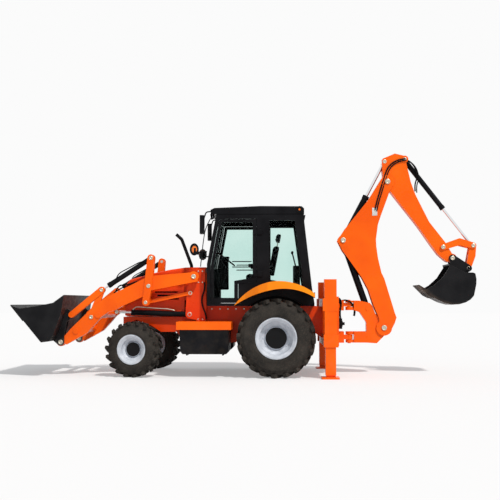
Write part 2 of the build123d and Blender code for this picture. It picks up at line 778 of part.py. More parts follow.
# %% Doors
door_gap = 6
door_outline = (
    (-1112, 1242), (-1112, 1906), (-969, 2674), (-336, 2674), (-336, 1607), (-651, 1566),
    (-651, 1294), (-693, 1242),
)
door_window = (
    (-1062, 1330), (-1062, 1900), (-925, 2620), (-400, 2620), (-400, 1670), (-715, 1620),
    (-715, 1330),
)
for name, hand in (("left", -1), ("right", 1)):
    inner_face = 702
    outer_face = cab_half
    with BuildPart() as door:
        plate(door_outline, inner_face, outer_face)
        plate(door_window, inner_face - 1, outer_face + 1, mode=Mode.SUBTRACT)
        block((-1108, -1068), (-outer_face - 30, -outer_face + 1), (1560, 1660))
        for z in (1700, 2420):
            block((-380, -326), (-outer_face - 24, -outer_face), (z, z + 60))
            with BuildSketch(Plane.XY.offset(z)) as barrel:
                with Locations((rear_axle_x - 318, -outer_face - 12)):
                    Circle(11)
            extrude(barrel.sketch, amount=60)
        if hand > 0:
            mirror(about=Plane.XZ, mode=Mode.REPLACE)
    door.part.label = f"door_{name}"
    export_step(door.part, f"parts/door_{name}.step")
    with BuildPart() as door_glass:
        plate(
            ((-1080, 1312), (-1080, 1899), (-940, 2638), (-382, 2638), (-382, 1655), (-697, 1603),
             (-697, 1312)),
            inner_face - glass - 0.3,
            inner_face - 0.3,
        )
        if hand > 0:
            mirror(about=Plane.XZ, mode=Mode.REPLACE)
    door_glass.part.label = f"door_glass_{name}"
    export_step(door_glass.part, f"parts/door_glass_{name}.step")

# %% Seat and controls
with BuildPart() as seat:
    block((-560, -130), (-240, 240), (1640, 1740), 50)
    with BuildSketch(side(230)) as back:
        Polygon((-150, 1700), (-30, 1700), (60, 2280), (-20, 2300), align=None)
    extrude(back.sketch, amount=460)
seat.part.label = "seat"
export_step(seat.part, "parts/seat.step")

with BuildPart() as cab_interior:
    block((-500, -180), (-180, 180), (1420.3, 1639.7), 20)
    block((-520, 420), (-690, -300), (1420.3, 1500), 20)
    block((-520, 420), (300, 690), (1420.3, 1500), 20)
    block((-1125, -1000), (-160, 160), (1236.3, 1840), 20)
    round_along((-1040, 1840), (-900, 2020), 22, 0, -30, 228)
    with BuildPart(Plane(origin=(rear_axle_x - 896, 0, 2026), z_dir=(140, 0, 180)), mode=Mode.PRIVATE) as ring:
        Torus(190, 15)
        Cylinder(14, 380, rotation=(90, 0, 0))
        Cylinder(14, 380, rotation=(0, 90, 0))
    add(ring.part)
    block((300, 420), (-200, 200), (1500.3, 1900), 20)
    for y in (-120, -40, 40, 120):
        with BuildSketch(Plane(origin=(rear_axle_x + 350, y, 1880), z_dir=(-0.25, 0, 1))) as stick:
            Circle(9)
        extrude(stick.sketch, amount=260)
        with Locations((rear_axle_x + 350 - 65, y, 2140)):
            Sphere(22)
    block((300, 420), (-301, -199), (1500.3, 1560))
    block((300, 420), (199, 301), (1500.3, 1560))
cab_interior.part.label = "cab_interior"
export_step(cab_interior.part, "parts/cab_interior.step")

# %% Rear fenders
fender_wall = 14
fender_full = -140         # the fender reaches its full width here
with BuildPart() as rear_fenders:
    with BuildSketch(side(-cab_half - 0.3)) as band:
        with BuildLine():
            top_front = ThreePointArc((-716, 1194), (-446, 1452), (7, 1605))
            top_rear = ThreePointArc((7, 1605), (370, 1548), (640, 1399))
            Line((640, 1399), (640, 1330))
            low_rear = ThreePointArc((640, 1330), (400, 1440), (0, 1470))
            low_front = ThreePointArc((0, 1470), (-380, 1370), (-716, 1194))
        make_face()
    extrude(band.sketch, amount=fender_half - cab_half - 0.3)
    with BuildSketch(side(-cab_half - 0.3)) as under:
        with BuildLine():
            Line((fender_full, 1570 - fender_wall), (7, 1605 - fender_wall))
            ThreePointArc((7, 1605 - fender_wall), (366, 1548 - fender_wall), (660, 1380))
            Line((660, 1380), (660, 1100))
            Line((660, 1100), (fender_full, 1100))
            Line((fender_full, 1100), (fender_full, 1570 - fender_wall))
        make_face()
    extrude(under.sketch, amount=fender_half - cab_half - 0.3 - fender_wall, mode=Mode.SUBTRACT)
    with BuildSketch(Plane.XY.offset(1000)) as flare:
        Polygon(
            (rear_axle_x - 800, -1300), (rear_axle_x - 800, -800), (rear_axle_x - 716, -800),
            (rear_axle_x - 520, -905), (rear_axle_x - 300, -1070), (rear_axle_x + fender_full, -fender_half),
            (rear_axle_x + 0, -1300), align=None,
        )
    extrude(flare.sketch, amount=800, mode=Mode.SUBTRACT)
    mirror(about=Plane.XZ)
rear_fenders.part.label = "rear_fenders"
export_step(rear_fenders.part, "parts/rear_fenders.step")

# %% Steps and side boxes
step_inner = chassis_half + side_thick + 0.3
step_front = front_axle_x + front_tyre_radius + 214
box_front = step_front + 53
with BuildPart() as steps:
    block((step_front, -751), (-1050, -step_inner), (796, 929))
    block((step_front + 27, -780), (-1025, -500), (930, 960), mode=Mode.SUBTRACT)
    for row in range(5):
        block((step_front + 67, -820), (-1000 + row * 90, -960 + row * 90), (905, 940), mode=Mode.SUBTRACT)
    mirror(about=Plane.XZ)
steps.part.label = "steps"
export_step(steps.part, "parts/steps.step")

with BuildPart() as side_boxes:
    plate(((box_front, 795.7), (box_front + 14, 440), (box_front + 54, 392), (-830, 392), (-790, 440),
           (-790, 795.7)),
          step_inner, 1040, 12)
    for x in (box_front + 114, -900):
        block((x, x + 24), (-1044, -600), (372, 395))
    mirror(about=Plane.XZ)
side_boxes.part.label = "side_boxes"
export_step(side_boxes.part, "parts/side_boxes.step")

# %% Mirrors, lamps and their arms
with BuildPart() as mirrors_lamps:
    round_along((-1184.3, 2120), (-1388, 2105), 12, -cab_half + 30, 0)
    round_along((-1388, 2070), (-1388, 2140), 62, -cab_half + 30, 0, 110)
    with BuildLine() as bar_line:
        bar_path = FilletPolyline(
            (rear_axle_x - 1124.1, -cab_half + 20, 2810),
            (rear_axle_x - 1200, -cab_half + 10, 2800),
            (rear_axle_x - 1262, -cab_half - 20, 2600),
            radius=50,
        )
    with BuildSketch(Plane(origin=bar_path @ 0, z_dir=bar_path % 0)) as bar_section:
        Circle(11)
    sweep(bar_section.sketch, path=bar_path)
    block((-1300, -1225), (-870, -690), (2420, 2735), 30)
    mirror(about=Plane.XZ)
mirrors_lamps.part.label = "mirrors_lamps"
export_step(mirrors_lamps.part, "parts/mirrors_lamps.step")

# %% Rear frame with stabilizer housings
housing_x = (795, 995)
housing_y = (1000, 1190)
housing_wall = 14
housing_z = (517, 1633)
beam_rear = 1010
beams = ((1110, 1318), (517, 725))
with BuildPart() as rear_frame:
    for low, high in beams:
        block((800, beam_rear), (-housing_y[0] - 1, housing_y[0] + 1), (low, high))
        block((830, beam_rear - 30), (-housing_y[0] + 40, housing_y[0] - 40), (low + 20, high - 20),
              mode=Mode.SUBTRACT)
    for hand in (-1, 1):
        y_range = sorted((hand * housing_y[0], hand * housing_y[1]))
        block(housing_x, y_range, housing_z)
        for x_range, z_range in (((767, 1021), (1110, 1318)), ((780, 1021), (517, 725))):
            block(x_range, (y_range[0] - 6, y_range[1] + 6), z_range)
    for hand in (-1, 1):
        y_range = sorted((hand * (housing_y[0] + housing_wall), hand * (housing_y[1] - housing_wall)))
        block((housing_x[0] + housing_wall, housing_x[1] - housing_wall), y_range,
              (housing_z[0] - 1, housing_z[1] - housing_wall), mode=Mode.SUBTRACT)
    for hand in (-1, 1):
        block((800, 840), (hand * 500 - 20, hand * 500 + 20), (725, 1110))
rear_frame.part.label = "rear_frame"
export_step(rear_frame.part, "parts/rear_frame.step")

leg_clear = 0.5
foot_thick = 28
foot_half_width = 142
for name, hand in (("left", -1), ("right", 1)):
    leg_x = (housing_x[0] + housing_wall + leg_clear, housing_x[1] - housing_wall - leg_clear)
    leg_y = sorted((hand * (housing_y[0] + housing_wall + leg_clear),
                    hand * (housing_y[1] - housing_wall - leg_clear)))
    middle_y = sum(leg_y) / 2
    with BuildPart() as stabilizer:
        block(leg_x, leg_y, (60, 1090))
        block((leg_x[0] + 14, leg_x[1] - 14), (leg_y[0] + 14, leg_y[1] - 14), (100, 1091),
              mode=Mode.SUBTRACT)
        block((743, 1035), (middle_y - foot_half_width, middle_y + foot_half_width), (0, foot_thick), 18)
        block((leg_x[0] + 6, leg_x[1] - 6), (middle_y - 60, middle_y + 60), (foot_thick, 61))
    stabilizer.part.label = f"stabilizer_{name}"
    export_step(stabilizer.part, f"parts/stabilizer_{name}.step")

# %% Side-shift carriage
carriage_half = 330
carriage_rear = 1190
hinge_radius = 62
carriage_lugs = ((1180, 1245), (600, 680))
with BuildPart() as carriage:
    block((beam_rear + 0.3, 1090), (-carriage_half, carriage_half), (494, 1354))
    block((940, 1090), (-carriage_half, carriage_half), (1319, 1354))
    block((940, 1090), (-carriage_half, carriage_half), (494, 516))
    block((beam_rear, 1200), (-275, 275), (760, 1100), mode=Mode.SUBTRACT)
    for low, high in ((1110, 1290), (543, 740)):
        block((1089, carriage_rear), (-150, 150), (low, high))
    for low, high in carriage_lugs:
        block((carriage_rear - 1, swing_x), (-hinge_radius + 4, hinge_radius - 4), (low, high))
        with BuildSketch(Plane.XY.offset(low)) as lug:
            with Locations((rear_axle_x + swing_x, 0)):
                Circle(hinge_radius)
        extrude(lug.sketch, amount=high - low)
        with BuildSketch(Plane.XY.offset(low - 1)) as bore:
            with Locations((rear_axle_x + swing_x, 0)):
                Circle(30 + pin_gap)
        extrude(bore.sketch, amount=high - low + 2, mode=Mode.SUBTRACT)
carriage.part.label = "carriage"
export_step(carriage.part, "parts/carriage.step")

with BuildPart() as swing_cylinders:
    for hand in (-1, 1):
        centre_y = hand * 215
        round_along((850, 880), (1160, 880), 52, centre_y)
        round_along((1160, 880), (1196, 880), 26, centre_y, -1)
        y_range = sorted((hand * 155, hand * 274.7))
        block((1089, 1150), y_range, (790, 970))
swing_cylinders.part.label = "swing_cylinders"
export_step(swing_cylinders.part, "parts/swing_cylinders.step")

# %% Kingpost
cheek_in = 68
with BuildPart() as kingpost:
    plate(
        (
            (1372, 543), (1587, 543), (1770, 532), (1905, 668), (1950, 770), (1960, 850), (1880, 905),
            (1745, 1060), (1700, 1190), (1654, 1243), (1458, 1285), (1372, 1285),
            (1372, 1115), (1475, 1080), (1590, 900), (1590, 740), (1372, 740),
        ),
        -kingpost_half,
        kingpost_half,
    )
    plate(
        ((1530, 1060), (1640, 1040), (1700, 1030), (2000, 1000), (2000, 1420), (1360, 1420),
         (1500, 1150)),
        -cheek_in,
        cheek_in,
        mode=Mode.SUBTRACT,
    )
    for low, high in ((1115, 1175), (1250, 1285), (543, 595), (685, 740)):
        block((swing_x, 1380), (-hinge_radius, hinge_radius), (low, high))
        with BuildSketch(Plane.XY.offset(low)) as leaf:
            with Locations((rear_axle_x + swing_x, 0)):
                Circle(hinge_radius)
        extrude(leaf.sketch, amount=high - low)
    for low, high in ((1115, 1300), (530, 740)):
        with BuildSketch(Plane.XY.offset(low)) as pin:
            with Locations((rear_axle_x + swing_x, 0)):
                Circle(30)
        extrude(pin.sketch, amount=high - low)
    round_y(boom_ram_base, 30, -kingpost_half - 10, kingpost_half + 10)
    round_y(boom_foot, 36, -boom_half - 10, boom_half + 10)
kingpost.part.label = "kingpost"
export_step(kingpost.part, "parts/kingpost.step")

# %% Boom
boom_plate = 16
boom_core = boom_half - boom_plate + 0.01
with BuildPart() as boom:
    for y_in in (boom_half - boom_plate, -boom_half):
        plate(
            (
                (2068, 3300), (2023, 3232), (1945, 3021), (1856, 2782), (1806, 2633), (1770, 2371),
                (1775, 2246), (1803, 2034), (1862, 1774), (1910, 1676), (2088, 1071), (2118, 985),
                (2086, 887), (2030, 780), (1905, 668), (1820, 740), (1812, 973), (1710, 1218),
                (1626, 1479), (1517, 1688), (1174, 2173), (1089, 2348), (1225, 2560), (1649, 3084),
                (1875, 3446), (1930, 3500),
            ),
            y_in,
            y_in + boom_plate,
        )
        round_y(dipper_pivot, 118, y_in, y_in + boom_plate)
        round_y(knee, 92, y_in, y_in + boom_plate)
        round_y(boom_foot, 137, y_in, y_in + boom_plate)
    plate(
        (
            (1990, 3190), (1880, 3060), (1760, 2740), (1660, 2371), (1668, 2230), (1700, 2010),
            (1760, 1740), (1800, 1640), (1900, 1200), (1960, 1010), (2085, 1000), (2075, 1071),
            (1898, 1672), (1850, 1772), (1791, 2034), (1763, 2246), (1758, 2371), (1794, 2633),
            (1844, 2782), (1933, 3021),
        ),
        -boom_core,
        boom_core,
    )
    round_y(boom_foot, 36 + pin_gap, -boom_half - 1, boom_half + 1, mode=Mode.SUBTRACT)
    for y_in, y_out in ((60, boom_half + 12), (-boom_half - 12, -60)):
        round_y(knee, 36, y_in, y_out)
    round_y(dipper_pivot, 36, -boom_half - 12, boom_half + 12)
boom.part.label = "boom"
export_step(boom.part, "parts/boom.step")

with BuildPart() as boom_barrel:
    cylinder_barrel(boom_ram_base, knee, 1110, 58, boom_rod_radius, 0, 30, 60)
boom_barrel.part.label = "boom_barrel"
export_step(boom_barrel.part, "parts/boom_barrel.step")

with BuildPart() as boom_rod:
    cylinder_rod(boom_ram_base, knee, 120, boom_rod_radius, 0, 45, 60 - rod_gap)
    round_y(knee, 24, -60, 60, mode=Mode.SUBTRACT)
boom_rod.part.label = "boom_rod"
export_step(boom_rod.part, "parts/boom_rod.step")

# %% Dipper
dipper_slot = 58
with BuildPart() as dipper:
    plate(
        (
            (1904, 3817), (2122, 3910), (2325, 3858), (2325, 3730), (2400, 3393), (2479, 3168),
            (2716, 2680), (2990, 2321), (3121, 2099), (3039, 1963), (2985, 1990), (2866, 2099),
            (2748, 2260), (2510, 2609), (2023, 3243), (1907, 3496), (1890, 3723),
        ),
        -dipper_half,
        dipper_half,
    )
    round_y(hoe_pivot, 78, -dipper_half, dipper_half)
    round_y(hoe_ram_base, 62, -dipper_half, dipper_half)
    link(((dipper_ram_pin[0], dipper_ram_pin[1], 105), (1700, 3500, 75), (1760, 3900, 75)),
         -dipper_slot, dipper_slot, mode=Mode.SUBTRACT)
    link(((hoe_ram_base[0], hoe_ram_base[1], 84), (2560, 3470, 70), (2500, 3900, 80)),
         -dipper_slot, dipper_slot, mode=Mode.SUBTRACT)
    round_y(dipper_pivot, 36 + pin_gap, -dipper_half - 1, dipper_half + 1, mode=Mode.SUBTRACT)
    round_y(hoe_ram_base, 28, -dipper_half - 10, dipper_half + 10)
    round_y(idler_pivot, 30, -dipper_half - 34, dipper_half + 34)
    round_y(hoe_pivot, 32, -dipper_half - 34, dipper_half + 34)
dipper.part.label = "dipper"
export_step(dipper.part, "parts/dipper.step")

with BuildPart() as dipper_barrel:
    for y_in in (62, -88):
        link(((knee[0], knee[1], 54), (*between(knee, dipper_ram_pin, 0.14), 54)), y_in, y_in + 26)
        round_y(knee, 36 + pin_gap, y_in - 1, y_in + 27, mode=Mode.SUBTRACT)
    link(((*between(knee, dipper_ram_pin, 0.125), 40), (*between(knee, dipper_ram_pin, 0.14), 40)),
         -63, 63)
    round_along(knee, dipper_ram_pin, 54, 0, 200, 905)
    round_along(knee, dipper_ram_pin, 60, 0, 845, 905)
    round_along(knee, dipper_ram_pin, 39, 0, 270, 905 - gland, mode=Mode.SUBTRACT)
    round_along(knee, dipper_ram_pin, dipper_rod_radius + rod_gap, 0, 904 - gland, 906, mode=Mode.SUBTRACT)
dipper_barrel.part.label = "dipper_barrel"
export_step(dipper_barrel.part, "parts/dipper_barrel.step")

with BuildPart() as dipper_rod:
    cylinder_rod(knee, dipper_ram_pin, 720, dipper_rod_radius, 0, 50, dipper_slot - rod_gap)
dipper_rod.part.label = "dipper_rod"
export_step(dipper_rod.part, "parts/dipper_rod.step")

# %% Hoe bucket linkage
idler_crown = (3245, 2325)
with BuildPart() as idler_links:
    for y_in in (dipper_half + plate_gap, -dipper_half - plate_gap - 16):
        link(((idler_pivot[0], idler_pivot[1], 52), (idler_crown[0], idler_crown[1], 60)),
             y_in, y_in + 16)
        link(((idler_crown[0], idler_crown[1], 60), (idler_pin[0], idler_pin[1], 52)),
             y_in, y_in + 16)
    round_y(idler_pivot, 30 + pin_gap, -120, 120, mode=Mode.SUBTRACT)
    for y_in in (66, -114):
        round_y(idler_pin, 28, y_in, y_in + 48)
idler_links.part.label = "idler_links"
export_step(idler_links.part, "parts/idler_links.step")

with BuildPart() as tipping_link:
    for y_in in (66, -88):
        link(((idler_pin[0], idler_pin[1], 54), (3460, 2080, 62), (tip_pin[0], tip_pin[1], 44)),
             y_in, y_in + 22)
    link(((3440, 2080, 40), (3415, 1960, 30)), -67, 67)
    round_y(idler_pin, 28 + pin_gap, -100, 100, mode=Mode.SUBTRACT)
tipping_link.part.label = "tipping_link"
export_step(tipping_link.part, "parts/tipping_link.step")

with BuildPart() as bucket_barrel:
    cylinder_barrel(hoe_ram_base, idler_pin, 1120, 46, bucket_rod_radius, 0, 28, 54)
bucket_barrel.part.label = "bucket_barrel"
export_step(bucket_barrel.part, "parts/bucket_barrel.step")

with BuildPart() as bucket_rod:
    cylinder_rod(hoe_ram_base, idler_pin, 800, bucket_rod_radius, 0, 46, 66 - rod_gap)
bucket_rod.part.label = "bucket_rod"
export_step(bucket_rod.part, "parts/bucket_rod.step")

# %% Hoe bucket with teeth
with BuildPart() as hoe_bucket:
    plate(
        ((3010, 1925), (3290, 1775), (3430, 1772), (3468, 1755), (3485, 1660), (3481, 1569),
         (3438, 1370), (3375, 1300), (3292, 1252), (3180, 1220), (3053, 1212), (2909, 1252),
         (2725, 1344), (2600, 1440), (2622, 1483), (2754, 1556), (2903, 1690), (3023, 1876)),
        -hoe_bucket_half,
        hoe_bucket_half,
    )
    plate(
        ((3010, 1905), (3290, 1755), (3420, 1753), (3450, 1740), (3465, 1655), (3460, 1575),
         (3420, 1385), (3360, 1320), (3283, 1275), (3175, 1243), (3053, 1236), (2917, 1274),
         (2735, 1364), (2560, 1480), (2700, 1900), (2960, 2000)),
        -hoe_bucket_half + 14,
        hoe_bucket_half - 14,
        mode=Mode.SUBTRACT,
    )
    for y_in in (dipper_half + plate_gap, -dipper_half - plate_gap - 20):
        link(((hoe_pivot[0], hoe_pivot[1], 62), (tip_pin[0], tip_pin[1], 58), (3300, 1800, 60),
              (3120, 1940, 40)), y_in, y_in + 20)
    round_y(hoe_pivot, 32 + pin_gap, -150, 150, mode=Mode.SUBTRACT)
    for y_in in (94, -150):
        round_y(tip_pin, 28, y_in, y_in + 56)
    for tooth in range(5):
        y = (tooth - 2) * 130
        with BuildSketch(side(y + 24)) as point:
            Polygon((2463, 1555), (2490, 1560), (2760, 1400), (2740, 1325), (2640, 1375), align=None)
        extrude(point.sketch, amount=48)
hoe_bucket.part.label = "hoe_bucket"
export_step(hoe_bucket.part, "parts/hoe_bucket.step")
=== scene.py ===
# %% [markdown]
# A backhoe loader is dressed here. The CAD model arrives as a fixed frame of steel pieces in metres,
# and this lesson adds what a drawing leaves out: paint, glass, rubber, a sewn seat, hoses, lamps and
# bolts. The machine's long side lies along X with the loader towards -X, its left side faces -Y,
# where the camera stands, and Z is up from the ground.

import bpy
import bmesh
import json
from math import exp, radians
from mathutils import Matrix, Vector

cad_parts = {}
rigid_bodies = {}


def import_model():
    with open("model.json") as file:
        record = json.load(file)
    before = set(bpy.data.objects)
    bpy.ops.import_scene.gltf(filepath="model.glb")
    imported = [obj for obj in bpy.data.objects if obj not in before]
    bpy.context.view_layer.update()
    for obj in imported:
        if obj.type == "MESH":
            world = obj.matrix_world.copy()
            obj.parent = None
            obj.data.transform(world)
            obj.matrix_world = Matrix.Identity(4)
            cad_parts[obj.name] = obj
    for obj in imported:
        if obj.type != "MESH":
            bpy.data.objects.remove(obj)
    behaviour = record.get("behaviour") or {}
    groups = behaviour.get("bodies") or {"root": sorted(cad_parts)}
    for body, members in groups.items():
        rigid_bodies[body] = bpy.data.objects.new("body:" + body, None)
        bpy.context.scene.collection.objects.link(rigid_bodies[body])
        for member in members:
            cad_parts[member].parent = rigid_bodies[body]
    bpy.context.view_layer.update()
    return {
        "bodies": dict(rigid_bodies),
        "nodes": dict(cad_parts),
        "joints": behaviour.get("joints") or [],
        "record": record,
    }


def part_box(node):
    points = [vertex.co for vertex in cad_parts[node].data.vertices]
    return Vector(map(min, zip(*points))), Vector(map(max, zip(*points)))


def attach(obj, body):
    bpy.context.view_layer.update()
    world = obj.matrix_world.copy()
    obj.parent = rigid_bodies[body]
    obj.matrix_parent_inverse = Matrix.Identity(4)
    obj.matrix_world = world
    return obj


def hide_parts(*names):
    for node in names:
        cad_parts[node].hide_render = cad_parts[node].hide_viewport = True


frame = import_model()
nodes = frame["nodes"]

# %% [markdown]
# The camera comes first, because every finish is judged through it. The photograph is taken from far
# off with a long lens, a little left of square and from about hip height. A shift of the lens would
# frame it too, but a small tilt upwards is what the picture shows.

# %% Camera
camera_data = bpy.data.cameras.new("camera")
camera = bpy.data.objects.new("camera", camera_data)
bpy.context.collection.objects.link(camera)
bpy.context.scene.camera = camera
SENSOR_WIDTH_MM = 36
TILT_UP, TURN_LEFT = 3.59, 2.06    # degrees
camera_data.sensor_width = SENSOR_WIDTH_MM
camera_data.lens = 59.88
camera.location = (0.527, -14.905, 1.256)
camera.rotation_euler = (radians(90 + TILT_UP), 0, radians(TURN_LEFT))
camera_data.clip_end = 200
print("camera", tuple(camera.location))

# %% [markdown]
# The machine stands on a plain pale floor under one broad sun and an even sky. The sky is seen white
# by the camera and by mirrors, through Light Path, and lights the paint at a lower strength. A floor
# that glows would lose the shadow, so most of it is ordinary white paint.

# %% Floor, sky and sun
bpy.ops.object.select_all(action="DESELECT")
bpy.ops.mesh.primitive_plane_add(size=160, location=(0, 0, 0))
floor = bpy.context.active_object
floor.name = "studio_floor"


def seen_directly(tree):
    """One for camera, mirror and glass rays, zero for light that spreads."""
    path = tree.nodes.new("ShaderNodeLightPath")
    glossy = tree.nodes.new("ShaderNodeMath")
    glossy.operation = "MAXIMUM"
    tree.links.new(path.outputs["Is Camera Ray"], glossy.inputs[0])
    tree.links.new(path.outputs["Is Glossy Ray"], glossy.inputs[1])
    clear = tree.nodes.new("ShaderNodeMath")
    clear.operation = "MAXIMUM"
    tree.links.new(glossy.outputs[0], clear.inputs[0])
    tree.links.new(path.outputs["Is Transmission Ray"], clear.inputs[1])
    return clear.outputs[0]


floor_paint = bpy.data.materials.new("studio_floor_paint")
floor_paint.use_nodes = True
tree = floor_paint.node_tree
tree.nodes.clear()
matt = tree.nodes.new("ShaderNodeBsdfDiffuse")
matt.inputs["Color"].default_value = (0.83, 0.83, 0.835, 1)
glow = tree.nodes.new("ShaderNodeEmission")
glow.inputs["Color"].default_value = (0.97, 0.97, 0.97, 1)
share = tree.nodes.new("ShaderNodeMath")
share.operation = "MULTIPLY"
share.inputs[1].default_value = 0.3
tree.links.new(seen_directly(tree), share.inputs[0])
mix = tree.nodes.new("ShaderNodeMixShader")
tree.links.new(share.outputs[0], mix.inputs[0])
tree.links.new(matt.outputs[0], mix.inputs[1])
tree.links.new(glow.outputs[0], mix.inputs[2])
surface = tree.nodes.new("ShaderNodeOutputMaterial")
tree.links.new(mix.outputs[0], surface.inputs["Surface"])
floor.data.materials.append(floor_paint)

sky = bpy.data.worlds.new("studio_sky")
sky.use_nodes = True
bpy.context.scene.world = sky
tree = sky.node_tree
tree.nodes.clear()
even = tree.nodes.new("ShaderNodeBackground")
even.inputs["Color"].default_value = (0.93, 0.96, 1, 1)
even.inputs["Strength"].default_value = 0.5
white = tree.nodes.new("ShaderNodeBackground")
white.inputs["Color"].default_value = (0.965, 0.965, 0.965, 1)
mix = tree.nodes.new("ShaderNodeMixShader")
tree.links.new(seen_directly(tree), mix.inputs[0])
tree.links.new(even.outputs[0], mix.inputs[1])
tree.links.new(white.outputs[0], mix.inputs[2])
surface = tree.nodes.new("ShaderNodeOutputWorld")
tree.links.new(mix.outputs[0], surface.inputs["Surface"])

sun_data = bpy.data.lights.new("sun", "SUN")
sun_data.energy = 2.9
sun_data.angle = radians(4)
sun_data.color = (1, 0.97, 0.93)
sun = bpy.data.objects.new("sun", sun_data)
bpy.context.collection.objects.link(sun)
sun.rotation_euler = Vector((0.42, -0.55, 0.85)).to_track_quat("Z", "Y").to_euler()
bpy.context.scene.view_settings.view_transform = "Standard"
print("floor, sky and sun are set")

# %% [markdown]
# Finishes are node materials. Each starts as one shader with its plain numbers set on its own
# sockets, and then gets three things that real surfaces have: a colour that wanders a little, a
# roughness that wanders with it, and a fine relief. All of them read Object coordinates, so the
# pattern stays on the piece when it moves.

# %% A finish and its pattern
def finish(name, colour, roughness, metallic=0, coat=0, gloss=0.2):
    """New material with one shader; returns it with its tree and shader."""
    material = bpy.data.materials.new(name)
    material.use_nodes = True
    shader = material.node_tree.nodes["Principled BSDF"]
    shader.inputs["Base Color"].default_value = (*colour, 1)
    shader.inputs["Roughness"].default_value = roughness
    shader.inputs["Metallic"].default_value = metallic
    shader.inputs["Coat Weight"].default_value = coat
    shader.inputs["Specular IOR Level"].default_value = gloss
    shader.inputs["Coat Roughness"].default_value = 0.12
    return material, material.node_tree, shader


def node(tree, kind, **values):
    """New node with some of its inputs or properties set by name."""
    made = tree.nodes.new(kind)
    for key, value in values.items():
        if key in made.inputs:
            made.inputs[key].default_value = value
        else:
            setattr(made, key, value)
    return made


def grain(tree, scale, detail=4, stretch=(1, 1, 1), centre=(0, 0, 0)):
    """Noise on the piece's own coordinates."""
    place = node(tree, "ShaderNodeTexCoord")
    mapping = node(tree, "ShaderNodeMapping")
    mapping.inputs["Location"].default_value = [-c * s for c, s in zip(centre, stretch)]
    mapping.inputs["Scale"].default_value = stretch
    tree.links.new(place.outputs["Object"], mapping.inputs["Vector"])
    noise = node(tree, "ShaderNodeTexNoise", Scale=scale, Detail=detail)
    tree.links.new(mapping.outputs[0], noise.inputs["Vector"])
    return noise.outputs["Fac"]


def ramp(tree, source, low, high, start=0.35, stop=0.65):
    """Turns a factor into a colour or, with plain numbers, into a value."""
    made = node(tree, "ShaderNodeValToRGB")
    made.color_ramp.elements[0].position = start
    made.color_ramp.elements[1].position = stop
    ends = [(low, low, low), (high, high, high)] if isinstance(low, (int, float)) else [low, high]
    for element, colour in zip(made.color_ramp.elements, ends):
        element.color = (*colour, 1)
    tree.links.new(source, made.inputs["Fac"])
    return made.outputs["Color"]


def relief(tree, shader, height, strength, distance):
    """Fine bump on the whole finish."""
    bump = node(tree, "ShaderNodeBump", Strength=strength, Distance=distance)
    tree.links.new(height, bump.inputs["Height"])
    tree.links.new(bump.outputs[0], shader.inputs["Normal"])


def worn_edge(tree, radius, start=0.72):
    """One on sharp edges: the rounded normal leaves the true one there."""
    bevel = node(tree, "ShaderNodeBevel", samples=6, Radius=radius)
    true = node(tree, "ShaderNodeNewGeometry")
    dot = node(tree, "ShaderNodeVectorMath", operation="DOT_PRODUCT")
    tree.links.new(bevel.outputs[0], dot.inputs[0])
    tree.links.new(true.outputs["Normal"], dot.inputs[1])
    turned = node(tree, "ShaderNodeMapRange")
    turned.inputs["From Min"].default_value = 1
    turned.inputs["From Max"].default_value = start
    turned.inputs["To Min"].default_value = 0
    turned.inputs["To Max"].default_value = 1
    tree.links.new(dot.outputs["Value"], turned.inputs["Value"])
    return turned.outputs[0]


def blend_colours(tree, factor, first, second):
    """Mix of two colours or colour sockets."""
    made = node(tree, "ShaderNodeMix", data_type="RGBA")
    tree.links.new(factor, made.inputs[0])
    for socket, value in ((made.inputs[6], first), (made.inputs[7], second)):
        if isinstance(value, tuple):
            socket.default_value = (*value, 1)
        else:
            tree.links.new(value, socket)
    return made.outputs[2]


def times(tree, first, second):
    """Product of two sockets, or of a socket and a number."""
    made = node(tree, "ShaderNodeMath", operation="MULTIPLY")
    tree.links.new(first, made.inputs[0])
    if isinstance(second, (int, float)):
        made.inputs[1].default_value = second
    else:
        tree.links.new(second, made.inputs[1])
    return made.outputs[0]


def low_down(tree, top, bottom):
    """One near the ground and zero above top, in metres."""
    place = node(tree, "ShaderNodeTexCoord")
    split = node(tree, "ShaderNodeSeparateXYZ")
    tree.links.new(place.outputs["Object"], split.inputs[0])
    height = node(tree, "ShaderNodeMapRange")
    height.inputs["From Min"].default_value = top
    height.inputs["From Max"].default_value = bottom
    tree.links.new(split.outputs["Z"], height.inputs["Value"])
    return height.outputs[0]


print("finish helpers ready")

# %% [markdown]
# The body paint is a deep gloss orange. On steel plate it is never one flat colour: the coat is a
# little thicker in places, it shows a faint orange-peel relief, and dust gathers low down. The
# plate edges, where the coat is thin, are slightly paler.

# %% Orange and amber paint
dust_brown = (0.30, 0.22, 0.15)


def vehicle_paint(name, deep, bright, dust):
    material, tree, shader = finish(name, bright, 0.33, coat=0.04, gloss=0.16)
    colour = ramp(tree, grain(tree, 1.6, 3), deep, bright)
    pale = tuple(min(1, c * 1.15 + 0.012) for c in bright)
    colour = blend_colours(tree, times(tree, worn_edge(tree, 0.006), 0.35), colour, pale)
    dirt = times(tree, low_down(tree, 1.1, 0.1), ramp(tree, grain(tree, 9, 6), 0, 1, 0.45, 0.75))
    colour = blend_colours(tree, times(tree, dirt, dust), colour, dust_brown)
    tree.links.new(colour, shader.inputs["Base Color"])
    tree.links.new(ramp(tree, grain(tree, 5, 4), 0.27, 0.42), shader.inputs["Roughness"])
    relief(tree, shader, grain(tree, 420, 2), 0.06, 0.0006)
    return material


orange_paint = vehicle_paint("orange_paint", (0.84, 0.095, 0.0), (0.95, 0.13, 0.0), 0.12)
# A darker, redder copy of the same orange for the chassis frame and hood: painted shade on those parts.
painted_shade_orange = vehicle_paint("painted_shade_orange", (0.60, 0.03, 0.0), (0.80, 0.052, 0.0), 0.12)
amber_paint = vehicle_paint("amber_paint", (0.93, 0.21, 0.002), (1.0, 0.27, 0.004), 0.1)
print("paints", orange_paint.name, painted_shade_orange.name, amber_paint.name)

